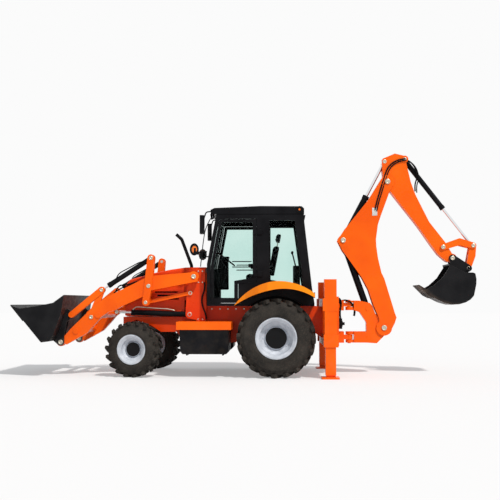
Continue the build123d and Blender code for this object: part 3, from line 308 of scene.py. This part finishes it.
# %% [markdown]
# Black parts differ more than a photograph first shows. The cab frame and cylinders are satin black
# paint, castings are rougher and browner, and the trim is moulded plastic with a pebble grain.

# %% Black paint, castings and plastic
def black_finish(name, colour, roughness, pebble, dust):
    material, tree, shader = finish(name, colour, roughness, gloss=0.05)
    lighter = tuple(c * 1.5 + 0.003 for c in colour)
    base = ramp(tree, grain(tree, 3.2, 4), colour, lighter)
    dirt = times(tree, low_down(tree, 1.2, 0.0), ramp(tree, grain(tree, 11, 6), 0, 1, 0.4, 0.7))
    base = blend_colours(tree, times(tree, dirt, dust), base, dust_brown)
    tree.links.new(base, shader.inputs["Base Color"])
    spread = (roughness - 0.07, roughness + 0.1)
    tree.links.new(ramp(tree, grain(tree, 14, 4), *spread), shader.inputs["Roughness"])
    relief(tree, shader, grain(tree, pebble, 3), 0.15, 0.0012)
    return material


black_paint = black_finish("black_paint", (0.005, 0.005, 0.006), 0.36, 300, 0.06)
cast_black = black_finish("cast_black", (0.009, 0.0085, 0.008), 0.6, 90, 0.3)
cab_plastic = black_finish("cab_plastic", (0.006, 0.006, 0.007), 0.6, 520, 0.03)
hose_rubber = black_finish("hose_rubber", (0.005, 0.005, 0.0055), 0.5, 260, 0.04)
print("blacks", black_paint.name, cast_black.name, cab_plastic.name, hose_rubber.name)

# %% [markdown]
# Tyre rubber on a working machine is a dull brown-grey. Dust stays in the grooves and on the side
# walls, and the bars wear darker, so the colour follows two noises of very different size.

# %% Tyre rubber
tyre_rubber, tree, shader = finish("tyre_rubber", (0.05, 0.045, 0.04), 0.85)
base = ramp(tree, grain(tree, 6, 5), (0.012, 0.011, 0.010), (0.036, 0.031, 0.026), 0.3, 0.72)
speck = ramp(tree, grain(tree, 60, 4), 0, 1, 0.5, 0.72)
base = blend_colours(tree, times(tree, speck, 0.3), base, (0.10, 0.078, 0.058))
tree.links.new(base, shader.inputs["Base Color"])
relief(tree, shader, grain(tree, 140, 5), 0.35, 0.002)
print("rubber", tyre_rubber.name)

# %% [markdown]
# A wheel is silver-grey paint outside and a black hub inside, on one welded disc. A ring pattern
# centred on each wheel's own axle does this: the distance from the axle picks the colour. Each wheel
# needs its own copy, because its axle is somewhere else.

# %% Wheel paint
wheel_marks = {
    # where the black hub ends, in metres from the axle
    "front": 0.118,
    "rear": 0.178,
}


def wheel_paint(name, centre, hub):
    material, tree, shader = finish(name, (0.5, 0.51, 0.53), 0.38, coat=0.03, gloss=0.12)
    place = node(tree, "ShaderNodeTexCoord")
    offset = node(tree, "ShaderNodeVectorMath", operation="SUBTRACT")
    offset.inputs[1].default_value = centre
    tree.links.new(place.outputs["Object"], offset.inputs[0])
    flat = node(tree, "ShaderNodeVectorMath", operation="MULTIPLY")
    flat.inputs[1].default_value = (1, 0, 1)
    tree.links.new(offset.outputs[0], flat.inputs[0])
    length = node(tree, "ShaderNodeVectorMath", operation="LENGTH")
    tree.links.new(flat.outputs[0], length.inputs[0])
    silver = ramp(tree, grain(tree, 8, 5), (0.42, 0.45, 0.50), (0.58, 0.61, 0.66))
    reach = node(tree, "ShaderNodeMath", operation="GREATER_THAN")
    tree.links.new(length.outputs["Value"], reach.inputs[0])
    reach.inputs[1].default_value = hub
    tree.links.new(blend_colours(tree, reach.outputs[0], (0.004, 0.004, 0.0045), silver),
                   shader.inputs["Base Color"])
    tree.links.new(ramp(tree, grain(tree, 20, 4), 0.32, 0.5), shader.inputs["Roughness"])
    relief(tree, shader, grain(tree, 200, 3), 0.08, 0.001)
    return material


wheel_centres = {}
for corner in ("front_left", "front_right", "rear_left", "rear_right"):
    low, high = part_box(f"rim_{corner}")
    wheel_centres[corner] = (low + high) / 2
    hub = wheel_marks[corner.split("_")[0]]
    paint = wheel_paint(f"wheel_silver_{corner}", wheel_centres[corner], hub)
    nodes[f"rim_{corner}"].material_slots[0].material = paint
    nodes[f"tyre_{corner}"].material_slots[0].material = tyre_rubber
print("wheels", {k: tuple(round(c, 3) for c in v) for k, v in wheel_centres.items()})

# %% [markdown]
# Rods are hard chrome, which is nearly a mirror with faint rings from grinding. Pins are plated
# steel, yellower and duller.

# %% Chrome and pin steel
chrome_rod, tree, shader = finish("chrome_rod", (0.78, 0.79, 0.8), 0.1, metallic=1)
tree.links.new(ramp(tree, grain(tree, 60, 2, (1, 1, 1)), 0.06, 0.16), shader.inputs["Roughness"])
relief(tree, shader, grain(tree, 500, 2), 0.02, 0.0003)
pin_steel, tree, shader = finish("pin_steel", (0.55, 0.5, 0.4), 0.35, metallic=1)
tree.links.new(ramp(tree, grain(tree, 30, 4), (0.48, 0.43, 0.33), (0.62, 0.58, 0.5)),
               shader.inputs["Base Color"])
tree.links.new(ramp(tree, grain(tree, 90, 4), 0.28, 0.48), shader.inputs["Roughness"])
relief(tree, shader, grain(tree, 300, 3), 0.1, 0.0006)
print("metals", chrome_rod.name, pin_steel.name)

# %% [markdown]
# The cab glass is tinted a pale blue-green and swallows a little light in each pane, so what lies
# behind two panes is greener than what lies behind one. It refracts hardly at all, being so thin.

# %% Tinted glass
tinted_glass, tree, shader = finish("tinted_glass", (0.75, 0.90, 0.86), 0.03, gloss=0.45)
shader.inputs["Transmission Weight"].default_value = 1
shader.inputs["IOR"].default_value = 1.08
tree.links.new(ramp(tree, grain(tree, 1.3, 2), (0.72, 0.875, 0.84), (0.79, 0.92, 0.885)),
               shader.inputs["Base Color"])
tree.links.new(ramp(tree, grain(tree, 25, 5), 0.0, 0.03), shader.inputs["Roughness"])
print("glass", tinted_glass.name)

# %% [markdown]
# Both buckets are painted black and then scraped by what they dig. Steel shows along every edge and
# in long scratches, most of all at the lip, and a thin brown film lies on the floor of the bucket.

# %% Bucket steel
def bucket_finish(name, worn_colour, centre, reach, deepest):
    """Black near centre; wear grows with the distance from it, from reach to deepest, in metres."""
    material, tree, shader = finish(name, (0.008, 0.008, 0.009), 0.42, gloss=0.1)
    base = ramp(tree, grain(tree, 3, 4), (0.005, 0.005, 0.006), (0.012, 0.012, 0.013))
    place = node(tree, "ShaderNodeTexCoord")
    away = node(tree, "ShaderNodeVectorMath", operation="SUBTRACT")
    away.inputs[1].default_value = centre
    tree.links.new(place.outputs["Object"], away.inputs[0])
    flat = node(tree, "ShaderNodeVectorMath", operation="MULTIPLY")
    flat.inputs[1].default_value = (1, 0, 1)
    tree.links.new(away.outputs[0], flat.inputs[0])
    length = node(tree, "ShaderNodeVectorMath", operation="LENGTH")
    tree.links.new(flat.outputs[0], length.inputs[0])
    near = node(tree, "ShaderNodeMapRange")
    near.inputs["From Min"].default_value = reach
    near.inputs["From Max"].default_value = deepest
    tree.links.new(length.outputs["Value"], near.inputs["Value"])
    scratches = ramp(tree, grain(tree, 5, 7, (1, 0.4, 2)), 0.25, 1, 0.38, 0.6)
    worn = times(tree, near.outputs[0], scratches)
    base = blend_colours(tree, times(tree, worn, 0.9), base, worn_colour)
    base = blend_colours(tree, times(tree, worn_edge(tree, 0.006), 0.25), base, (0.2, 0.18, 0.16))
    tree.links.new(base, shader.inputs["Base Color"])
    tree.links.new(ramp(tree, grain(tree, 22, 5), 0.33, 0.52), shader.inputs["Roughness"])
    relief(tree, shader, grain(tree, 120, 5), 0.12, 0.001)
    return material


loader_bucket_steel = bucket_finish("loader_bucket_steel", (0.16, 0.14, 0.12), (-3.4, 0, 1.2),
                                    0.58, 0.72)
hoe_bucket_steel = bucket_finish("hoe_bucket_steel", (0.24, 0.16, 0.11), (3.62, 0, 1.92),
                                 0.66, 0.92)
print("buckets", loader_bucket_steel.name, hoe_bucket_steel.name)

# %% [markdown]
# The other CAD pieces get their finishes from one table.

# %% Finishes for the CAD pieces
finish_of = {
    # The chassis frame and hood take the darker copy of the orange, which is painted shade.
    painted_shade_orange: ("chassis_frame", "hood"),
    orange_paint: ("steps", "rear_frame", "loader_arms", "posts",
                   "level_links", "levers", "tilt_links", "stabilizer_left", "stabilizer_right",
                   "carriage", "kingpost", "boom", "dipper", "idler_links", "tipping_link"),
    amber_paint: ("rear_fenders",),
    black_paint: ("exhaust_stack", "cab_frame", "cab_roof", "side_boxes", "mirrors_lamps",
                  "door_left", "door_right", "lift_barrels", "dump_barrels", "swing_cylinders",
                  "boom_barrel", "dipper_barrel", "bucket_barrel"),
    cast_black: ("engine_block", "front_axle", "rear_axle", "knuckle_left", "knuckle_right"),
    cab_plastic: ("cab_interior", "seat"),
    chrome_rod: ("lift_rods", "dump_rods", "boom_rod", "dipper_rod", "bucket_rod"),
    pin_steel: ("dump_pins", "lever_pins", "link_pins", "bucket_pins"),
    tinted_glass: ("cab_glass", "door_glass_left", "door_glass_right"),
    loader_bucket_steel: ("loader_bucket",),
    hoe_bucket_steel: ("hoe_bucket",),
}
for material, names in finish_of.items():
    for name in names:
        nodes[name].material_slots[0].material = material
dressed = sum(len(names) for names in finish_of.values()) + 8
print("CAD pieces finished:", dressed, "of", len(nodes))

# %% [markdown]
# New pieces are modelled with Blender's own operators, as by hand. A few habits keep that safe in a
# script: deselect everything first, pick faces by where they are, and apply the place at the end, so
# that the piece sits at the origin with its place in its mesh, as the CAD pieces do.

# %% Placing and keeping a piece
REAR_AXLE = 0.463


def at(x, z, y=0):
    """Point from side-view millimetres, with x measured from the rear axle."""
    return Vector((REAR_AXLE + x / 1000, y / 1000, z / 1000))


def only(piece):
    bpy.ops.object.select_all(action="DESELECT")
    piece.select_set(True)
    bpy.context.view_layer.objects.active = piece


def keep(piece, name, body, material):
    """Finishes a piece: place applied, named, painted, and riding on its body."""
    only(piece)
    bpy.ops.object.transform_apply(location=True, rotation=True, scale=True)
    piece.name = name
    piece.data.materials.clear()
    piece.data.materials.append(material)
    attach(piece, body)
    print(name, len(piece.data.polygons), "faces on", body)
    return piece


def repeat(pattern, places):
    """Copies of one modelled piece, its +Z turned along each direction, joined as one mesh."""
    copies = []
    for centre, direction in places:
        made = pattern.copy()
        made.data = pattern.data.copy()
        bpy.context.collection.objects.link(made)
        turn = Vector(direction).to_track_quat("Z", "Y").to_matrix().to_4x4()
        made.matrix_world = Matrix.Translation(centre) @ turn
        copies.append(made)
    bpy.data.objects.remove(pattern)
    bpy.ops.object.select_all(action="DESELECT")
    for made in copies:
        made.select_set(True)
    bpy.context.view_layer.objects.active = copies[0]
    bpy.ops.object.join()
    return bpy.context.active_object


def pick_faces(piece, test):
    """In edit mode, selects just the faces whose centre and normal pass the test."""
    bpy.ops.mesh.select_mode(type="FACE")
    bpy.ops.mesh.select_all(action="DESELECT")
    shape = bmesh.from_edit_mesh(piece.data)
    for face in shape.faces:
        face.select = test(face.calc_center_median(), face.normal)
    shape.select_flush_mode()
    bmesh.update_edit_mesh(piece.data)


print("a point on the rear axle:", tuple(at(0, 658)))

# %% [markdown]
# A hexagon bolt is a six-sided drum with its top face inset and dropped at the rim, which gives the
# chamfer that catches the light. It is made once, with a washer under it, and copied to each place.

# %% Bolts
def hex_bolt(across, height):
    """One bolt head on a washer, standing on z = 0."""
    only(floor)
    bpy.ops.mesh.primitive_cylinder_add(vertices=6, radius=across / 2, depth=height,
                                        location=(0, 0, height / 2))
    head = bpy.context.active_object
    bpy.ops.object.mode_set(mode="EDIT")
    pick_faces(head, lambda centre, normal: normal.z > 0.9)
    bpy.ops.mesh.inset(thickness=across * 0.07)
    bpy.ops.transform.translate(value=(0, 0, across * 0.05))
    pick_faces(head, lambda centre, normal: normal.z < -0.9)
    bpy.ops.mesh.extrude_region_move()
    bpy.ops.transform.resize(value=(1.35, 1.35, 1))
    bpy.ops.mesh.extrude_region_move(TRANSFORM_OT_translate={"value": (0, 0, -across * 0.08)})
    bpy.ops.object.mode_set(mode="OBJECT")
    return head


def bolts(name, places, body, material, across=0.026, height=0.012):
    keep(repeat(hex_bolt(across, height), places), name, body, material)


def both_sides(points, y):
    """Places on both flanks of the machine, facing outwards."""
    return [(at(x, z, hand * y), (0, hand, 0)) for x, z in points for hand in (-1, 1)]


bolts("tower_bolts", both_sides(((-1345, 1600), (-1275, 1600), (-1345, 1790), (-1275, 1790),
                                 (-1350, 960), (-1270, 960)), 561), "chassis", pin_steel)
bolts("chassis_bolts", both_sides(((-1120, 1140), (-980, 1140), (-840, 1140), (-700, 1140),
                                   (-560, 1140)), 423), "chassis", pin_steel)

# %% [markdown]
# Each pin of a linkage ends in a turned cap with a groove and a bolted keeper. The cap is a disc whose
# face is inset twice, the second ring pushed in. It stands a few millimetres proud of the CAD pin.

# %% Pin caps
def pin_cap(radius, proud):
    """One turned cap, standing on z = 0."""
    only(floor)
    bpy.ops.mesh.primitive_cylinder_add(vertices=28, radius=radius, depth=proud,
                                        location=(0, 0, proud / 2))
    cap = bpy.context.active_object
    bpy.ops.object.mode_set(mode="EDIT")
    pick_faces(cap, lambda centre, normal: normal.z > 0.9)
    bpy.ops.mesh.inset(thickness=radius * 0.12)
    bpy.ops.transform.translate(value=(0, 0, proud * 0.35))
    bpy.ops.mesh.inset(thickness=radius * 0.3)
    bpy.ops.mesh.inset(thickness=radius * 0.1)
    bpy.ops.transform.translate(value=(0, 0, -proud * 0.4))
    bpy.ops.object.mode_set(mode="OBJECT")
    return cap


pin_ends = (
    # name, body, radius mm, points (x, z), half width mm
    ("arm_pivot_caps", "chassis", 40, ((-1412, 1695),), 722),
    ("post_pivot_caps", "loader_arms", 34, ((-2187, 1532),), 736),
    ("post_top_caps", "dump_pins", 34, ((-2148, 2015),), 734),
    ("lever_pivot_caps", "lever_pins", 34, ((-3173, 1001),), 716),
    ("lever_top_caps", "link_pins", 32, ((-3000, 1466),), 712),
    ("bucket_pivot_caps", "bucket_pins", 40, ((-3690, 576),), 732),
    ("boom_caps", "boom", 46, ((1986, 3402), (1190, 2356)), 124),
    ("kingpost_caps", "kingpost", 46, ((1900, 805),), 122),
    ("dipper_caps", "dipper", 38, ((2952, 2230), (3113, 2034)), 122),
    ("idler_caps", "idler_links", 36, ((3483, 2256),), 114),
    ("level_base_caps", "chassis", 34, ((-1482, 1414),), 583),
    ("level_post_caps", "posts", 30, ((-2233, 1251),), 732),
    ("lift_base_caps", "chassis", 38, ((-1495, 1045),), 562),
    ("lift_pin_caps", "loader_arms", 34, ((-2763, 1088),), 541),
    ("dipper_ram_caps", "dipper", 34, ((1940, 3766),), 89),
    ("hoe_ram_caps", "dipper", 30, ((2299, 3809),), 99),
    ("tip_pin_caps", "hoe_bucket", 32, ((3393, 1854),), 114),
)
for name, body, radius, points, y in pin_ends:
    keep(repeat(pin_cap(radius / 1000, 0.006), both_sides(points, y)), name, body, pin_steel)

# %% [markdown]
# Hydraulic pipes, hoses, mirror stays and the doors' grab rails follow one smooth line each. A NURBS
# path with a round bevel gives that line; it is turned into a mesh so its place can be applied.

# %% Pipes, hoses and rails
def run(name, points, radius, body, material):
    """Smooth round pipe or hose through control points given as (x, z, y) millimetres."""
    line = bpy.data.curves.new(name, "CURVE")
    line.dimensions = "3D"
    spline = line.splines.new("NURBS")
    spline.points.add(len(points) - 1)
    for point, (x, z, y) in zip(spline.points, points):
        point.co = (*at(x, z, y), 1)
    spline.order_u = 3
    spline.use_endpoint_u = True
    line.resolution_u = 8
    line.bevel_depth = radius / 1000
    line.bevel_resolution = 3
    line.use_fill_caps = True
    made = bpy.data.objects.new(name, line)
    bpy.context.collection.objects.link(made)
    only(made)
    bpy.ops.object.convert(target="MESH")
    bpy.ops.object.shade_smooth_by_angle(angle=radians(40))
    return keep(bpy.context.active_object, name, body, material)


def mirrored(points):
    return [(x, z, -y) for x, z, y in points]


def shifted(points, x, z, y):
    return [(px + x, pz + z, py + y) for px, pz, py in points]


both_flanks = (
    # name, body, radius mm, material, slot, points (x, z, y) of the left one
    ("dump_pipe", "dump_barrels", 9, hose_rubber, "black_paint",
     ((-2770, 1600, -712), (-2744, 1655, -716), (-2722, 1712, -716), (-2675, 1764, -716),
      (-2578, 1815, -716), (-2447, 1886, -716), (-2340, 1945, -716), (-2262, 1958, -708))),
    ("lift_pipe", "lift_barrels", 9, pin_steel, "pin_steel",
     ((-2480, 1125, -546), (-2440, 1176, -550), (-2350, 1172, -550), (-2100, 1150, -550),
      (-1840, 1142, -550), (-1760, 1112, -546))),
    ("arm_hose", "loader_arms", 12, hose_rubber, "black_paint",
     ((-2780, 1440, -572), (-2740, 1545, -570), (-2620, 1555, -570), (-2480, 1585, -570),
      (-2410, 1615, -572))),
    ("arm_hose_lower", "loader_arms", 10, hose_rubber, "black_paint",
     ((-2820, 1415, -550), (-2700, 1500, -544), (-2560, 1545, -544), (-2430, 1600, -550))),
    ("tower_hose", "chassis", 13, hose_rubber, "black_paint",
     ((-1240, 1600, -575), (-1225, 1480, -582), (-1290, 1330, -584), (-1270, 1180, -582),
      (-1210, 1050, -575), (-1205, 960, -570))),
    ("mirror_stay", "chassis", 8, black_paint, "black_paint",
     ((-1110, 2700, -748), (-1200, 2560, -756), (-1245, 2300, -756), (-1270, 2040, -750),
      (-1290, 1930, -700), (-1300, 1870, -640))),
)
for name, body, radius, material, slot, points in both_flanks:
    run(f"{name}_left", points, radius, body, material)
    run(f"{name}_right", mirrored(points), radius, body, material)

boom_line = ((1757, 2900, -120), (1790, 3040, -125), (1840, 3200, -126), (1885, 3350, -124))
dipper_line = ((1888, 3365, -116), (1935, 3500, -104), (1990, 3655, -103), (2080, 3745, -103),
               (2200, 3800, -103), (2300, 3810, -112))
ram_line = ((2318, 3800, -66), (2400, 3770, -78), (2490, 3640, -76), (2520, 3480, -68),
            (2470, 3350, -60), (2480, 3230, -52))
for name, body, points in (("boom_line", "boom", boom_line),
                           ("dipper_line", "dipper", dipper_line),
                           ("ram_line", "bucket_barrel", ram_line)):
    run(f"{name}_outer", points, 13, body, hose_rubber)
    run(f"{name}_inner", shifted(points, 30, -24, 0), 10, body, hose_rubber)

for place, y in enumerate((-105, -60, 60, 105)):
    rear_line = ((1105, 1240, y), (1180, 1300, y), (1290, 1280, y * 0.8), (1370, 1200, y * 0.6),
                 (1400, 1090, y * 0.5), (1380, 1010, y * 0.5))
    run(f"rear_hose_{place}", rear_line, 14, "carriage", hose_rubber)
for place, y in enumerate((-290, -245, -200, 200, 245, 290)):
    drop = 30 * (place % 3)
    bundle_line = ((1000, 1290 - drop, y), (1085, 1350 - drop, y), (1145, 1260 - drop, y * 0.96),
                   (1105, 1060, y * 0.9), (1145, 880 + drop, y * 0.92), (1010, 770 + drop, y * 0.9))
    run(f"bundle_hose_{place}", bundle_line, 14, "carriage", hose_rubber)
for side_name, hand in (("left", -1), ("right", 1)):
    for level, z in (("upper", 1951), ("lower", 1857)):
        rail_line = ((-745, z, hand * 706), (-740, z, hand * 686), (-580, z, hand * 684),
                     (-432, z, hand * 686), (-427, z, hand * 706))
        run(f"door_rail_{level}_{side_name}", rail_line, 9, f"door_{side_name}", black_paint)

# %% [markdown]
# A lamp is a turned housing with a lens let into it. The housing's front is inset and sunk, and the
# lens is a disc whose middle is pushed out in two steps, so that it looks moulded.

# %% Lamps
def coloured_lens(name, colour):
    material, tree, shader = finish(name, colour, 0.18, gloss=0.5)
    deep = tuple(c * 0.55 for c in colour)
    tree.links.new(ramp(tree, grain(tree, 90, 2), deep, colour), shader.inputs["Base Color"])
    tree.links.new(ramp(tree, grain(tree, 60, 3), 0.12, 0.26), shader.inputs["Roughness"])
    relief(tree, shader, grain(tree, 160, 1), 0.3, 0.002)
    return material


amber_lens = coloured_lens("amber_lens", (1.0, 0.21, 0.01))
red_lens = coloured_lens("red_lens", (0.7, 0.01, 0.01))
clear_lens = coloured_lens("clear_lens", (0.75, 0.78, 0.8))


def lamp_body(radius, depth, tall):
    only(floor)
    bpy.ops.mesh.primitive_cylinder_add(vertices=28, radius=radius, depth=depth,
                                        location=(0, 0, depth / 2))
    made = bpy.context.active_object
    bpy.ops.object.mode_set(mode="EDIT")
    pick_faces(made, lambda centre, normal: normal.z > 0.9)
    bpy.ops.mesh.inset(thickness=radius * 0.16)
    bpy.ops.transform.translate(value=(0, 0, -depth * 0.25))
    pick_faces(made, lambda centre, normal: normal.z < -0.9)
    bpy.ops.transform.resize(value=(0.7, 0.7, 1))
    bpy.ops.mesh.select_all(action="SELECT")
    bpy.ops.transform.resize(value=(1, tall, 1))
    bpy.ops.object.mode_set(mode="OBJECT")
    return made


def lamp_lens(radius, depth, tall):
    only(floor)
    bpy.ops.mesh.primitive_cylinder_add(vertices=28, radius=radius * 0.83, depth=depth * 0.3,
                                        location=(0, 0, depth * 0.9))
    made = bpy.context.active_object
    bpy.ops.object.mode_set(mode="EDIT")
    pick_faces(made, lambda centre, normal: normal.z > 0.9)
    bpy.ops.mesh.inset(thickness=radius * 0.25)
    bpy.ops.transform.translate(value=(0, 0, depth * 0.1))
    bpy.ops.mesh.inset(thickness=radius * 0.3)
    bpy.ops.transform.translate(value=(0, 0, depth * 0.04))
    bpy.ops.mesh.select_all(action="SELECT")
    bpy.ops.transform.resize(value=(1, tall, 1))
    bpy.ops.object.mode_set(mode="OBJECT")
    only(made)
    bpy.ops.object.shade_smooth_by_angle(angle=radians(30))
    return made


lamps = (
    # name, lens, radius m, depth m, height over width, places with their directions
    ("signal_pod", amber_lens, 0.078, 0.06, 1.35, both_sides(((-1396, 2155),), 752)),
    ("roof_signal", amber_lens, 0.058, 0.035, 1.0, both_sides(((400, 2838),), 740)),
    ("work_lamp_rear", clear_lens, 0.055, 0.06, 1.0,
     [(at(468, 2715, y), (1, 0, -0.2)) for y in (-560, 560)]),
    ("work_lamp_front", clear_lens, 0.055, 0.06, 1.0,
     [(at(-1100, 2735, y), (-1, 0, -0.2)) for y in (-600, 600)]),
    ("tail_lamp", red_lens, 0.05, 0.035, 1.0,
     [(at(628, 1372, y), (1, 0, 0)) for y in (-1050, 1050)]),
)
for name, lens, radius, depth, tall, places in lamps:
    keep(repeat(lamp_body(radius, depth, tall), places), f"{name}_body", "chassis", cab_plastic)
    keep(repeat(lamp_lens(radius, depth, tall), places), f"{name}_lens", "chassis", lens)

# %% [markdown]
# Small plates finish the doors and the boom. Each is a flat panel whose face is inset and lifted,
# which gives a pressed border. The loader bucket's lip is bolted on, so bolt heads follow its edge.

# %% Panels and brackets
def panel(width, height, thickness):
    """Pressed plate in the plane z = 0, its border stepped."""
    only(floor)
    bpy.ops.mesh.primitive_cube_add(size=1, location=(0, 0, thickness / 2))
    made = bpy.context.active_object
    bpy.ops.object.mode_set(mode="EDIT")
    bpy.ops.mesh.select_all(action="SELECT")
    bpy.ops.transform.resize(value=(width, height, thickness))
    pick_faces(made, lambda centre, normal: normal.z > 0.9)
    bpy.ops.mesh.inset(thickness=min(width, height) * 0.12)
    bpy.ops.transform.translate(value=(0, 0, thickness * 0.5))
    bpy.ops.mesh.select_all(action="SELECT")
    bpy.ops.mesh.bevel(offset=thickness * 0.2, segments=2)
    bpy.ops.object.mode_set(mode="OBJECT")
    return made


bare_plate, tree, shader = finish("bare_plate", (0.6, 0.6, 0.58), 0.45)
tree.links.new(ramp(tree, grain(tree, 12, 4), (0.5, 0.5, 0.48), (0.68, 0.68, 0.66)),
               shader.inputs["Base Color"])
keep(repeat(panel(0.09, 0.14, 0.003), [(at(1752, 2862, -113), (0, -1, 0))]), "boom_plate", "boom",
     bare_plate)
for side_name, hand in (("left", -1), ("right", 1)):
    hinge_places = [(at(-275, z, hand * 741), (0, hand, 0)) for z in (1730, 2450)]
    keep(repeat(panel(0.085, 0.1, 0.02), hinge_places), f"hinge_plate_{side_name}", "chassis",
         black_paint)
    latch = [(at(-1088, 1720, hand * 741), (0, hand, 0))]
    keep(repeat(panel(0.05, 0.12, 0.02), latch), f"door_latch_{side_name}", f"door_{side_name}",
         cab_plastic)
bolts("bucket_lip_bolts", [(at(-4330, 1046, y), (-0.79, 0, -0.61)) for y in range(-900, 901, 300)],
      "loader_bucket", pin_steel, 0.04, 0.014)

# %% [markdown]
# The seat is sewn cloth over foam. Each pad starts as a block a little smaller than the real one. It is
# remeshed evenly and blown up by the cloth solver's pressure, with its travel capped, so that it crowns
# and pulls in at its corners. The sewn channels are pressed in afterwards.

# %% Padded seat
seat_cloth, tree, shader = finish("seat_cloth", (0.012, 0.012, 0.013), 0.85, gloss=0.1)
weave = times(tree, grain(tree, 160, 2, (1, 7, 1)), grain(tree, 160, 2, (7, 1, 7)))
tree.links.new(ramp(tree, grain(tree, 7, 4), (0.008, 0.008, 0.009), (0.018, 0.018, 0.02)),
               shader.inputs["Base Color"])
tree.links.new(ramp(tree, grain(tree, 30, 3), 0.78, 0.92), shader.inputs["Roughness"])
shader.inputs["Sheen Weight"].default_value = 0.2
relief(tree, shader, weave, 0.5, 0.002)


VOXEL = 0.006          # metres, the even grid a pad is remeshed to
PRESSURE = 4
FRAMES = 20
TRAVEL = 0.022         # metres, the furthest that pressure may move a point
CHANNEL_DEPTH = 0.009
CHANNEL_WIDTH = 0.007
SEAM_WIDTH = 0.006
SEAM_DRAW = 0.012      # share of its distance from the middle that the side seam is drawn in
SEAM_LEVEL = 0.28      # height of that seam above the middle, over the pad's thickness


def pad(size, channels, bolster):
    """Padded block of the given size in metres, its upholstered face towards +Z."""
    only(floor)
    bpy.ops.mesh.primitive_cube_add(size=1)
    made = bpy.context.active_object
    bpy.ops.object.mode_set(mode="EDIT")
    bpy.ops.mesh.select_all(action="SELECT")
    bpy.ops.transform.resize(value=size)
    bpy.ops.mesh.bevel(offset=min(size) * 0.3, segments=3)
    bpy.ops.object.mode_set(mode="OBJECT")
    only(made)
    even = made.modifiers.new("even", "REMESH")
    even.mode = "VOXEL"
    even.voxel_size = VOXEL
    bpy.ops.object.modifier_apply(modifier="even")
    start = [vertex.co.copy() for vertex in made.data.vertices]
    cloth = made.modifiers.new("pressure", "CLOTH")
    cloth.settings.use_pressure = True
    cloth.settings.uniform_pressure_force = PRESSURE
    cloth.settings.effector_weights.gravity = 0
    for frame in range(1, FRAMES + 1):
        bpy.context.scene.frame_set(frame)
    bpy.ops.object.modifier_apply(modifier="pressure")
    bpy.context.scene.frame_set(1)
    for vertex, first in zip(made.data.vertices, start):
        moved = vertex.co - first
        if moved.length > TRAVEL:
            vertex.co = first + moved * (TRAVEL / moved.length)
    for vertex in made.data.vertices:
        x, y, z = vertex.co
        if z > 0:
            dips = sum(exp(-((x - line) / CHANNEL_WIDTH) ** 2) for line in channels
                       if abs(y) < bolster)
            dips += exp(-((abs(y) - bolster) / CHANNEL_WIDTH) ** 2)
            vertex.co.z -= CHANNEL_DEPTH * min(1, dips)
        elif z < -size[2] / 2:
            vertex.co.z = -size[2] / 2
        side_seam = exp(-((z - size[2] * SEAM_LEVEL) / SEAM_WIDTH) ** 2) * SEAM_DRAW
        vertex.co.x -= x * side_seam
        vertex.co.y -= y * side_seam
    finer = made.modifiers.new("finer", "SUBSURF")
    finer.levels = 1
    bpy.ops.object.modifier_apply(modifier="finer")
    bpy.ops.object.shade_smooth()
    return made


seat_pads = (
    # name, size m, channels m, bolster m, place (x, z, y) mm, turn about Y in degrees
    ("seat_cushion", (0.40, 0.43, 0.085), (-0.09, 0.03), 0.15, (-345, 1688, 0), 3),
    ("seat_back", (0.54, 0.41, 0.085), (-0.16, -0.04, 0.08), 0.14, (-36, 1990, 0), -79.5),
    ("headrest", (0.15, 0.25, 0.07), (0,), 0.09, (40, 2394, 0), -79.5),
    ("armrest_left", (0.33, 0.06, 0.045), (0.1,), 0.05, (-330, 1905, -290), 0),
    ("armrest_right", (0.33, 0.06, 0.045), (0.1,), 0.05, (-330, 1905, 290), 0),
)
for name, size, channels, bolster, (x, z, y), turn in seat_pads:
    made = pad(size, channels, bolster)
    made.matrix_world = Matrix.Translation(at(x, z, y)) @ Matrix.Rotation(radians(turn), 4, "Y")
    keep(made, name, "chassis", seat_cloth)
    if name.startswith("seat"):
        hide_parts("seat")
for side_name, hand in (("left", -1), ("right", 1)):
    run(f"headrest_post_{side_name}", ((10, 2220, hand * 70), (20, 2280, hand * 70),
                                       (32, 2350, hand * 70)), 8, "chassis", pin_steel)
    run(f"armrest_bar_{side_name}", ((-80, 1850, hand * 200), (-100, 1868, hand * 280),
                                     (-300, 1872, hand * 290), (-470, 1872, hand * 290)), 11,
        "chassis", cab_plastic)

# %% [markdown]
# The instrument cowl stands over the steering column. It is a block drawn in towards the top, leaning
# back to the driver, with every edge rounded.

# %% Instrument cowl
only(floor)
bpy.ops.mesh.primitive_cube_add(size=1)
cowl = bpy.context.active_object
bpy.ops.object.mode_set(mode="EDIT")
bpy.ops.mesh.select_all(action="SELECT")
bpy.ops.transform.resize(value=(0.25, 0.3, 0.52))
pick_faces(cowl, lambda centre, normal: normal.z > 0.9)
bpy.ops.transform.resize(value=(0.62, 0.8, 1))
bpy.ops.transform.translate(value=(0.045, 0, 0))
bpy.ops.mesh.extrude_region_move(TRANSFORM_OT_translate={"value": (0.035, 0, 0.07)})
bpy.ops.transform.resize(value=(0.85, 0.9, 1))
bpy.ops.mesh.select_all(action="SELECT")
bpy.ops.mesh.bevel(offset=0.02, segments=3)
bpy.ops.object.mode_set(mode="OBJECT")
only(cowl)
bpy.ops.object.shade_smooth_by_angle(angle=radians(40))
cowl.location = at(-985, 1740)
keep(cowl, "dash_cowl", "chassis", cab_plastic)
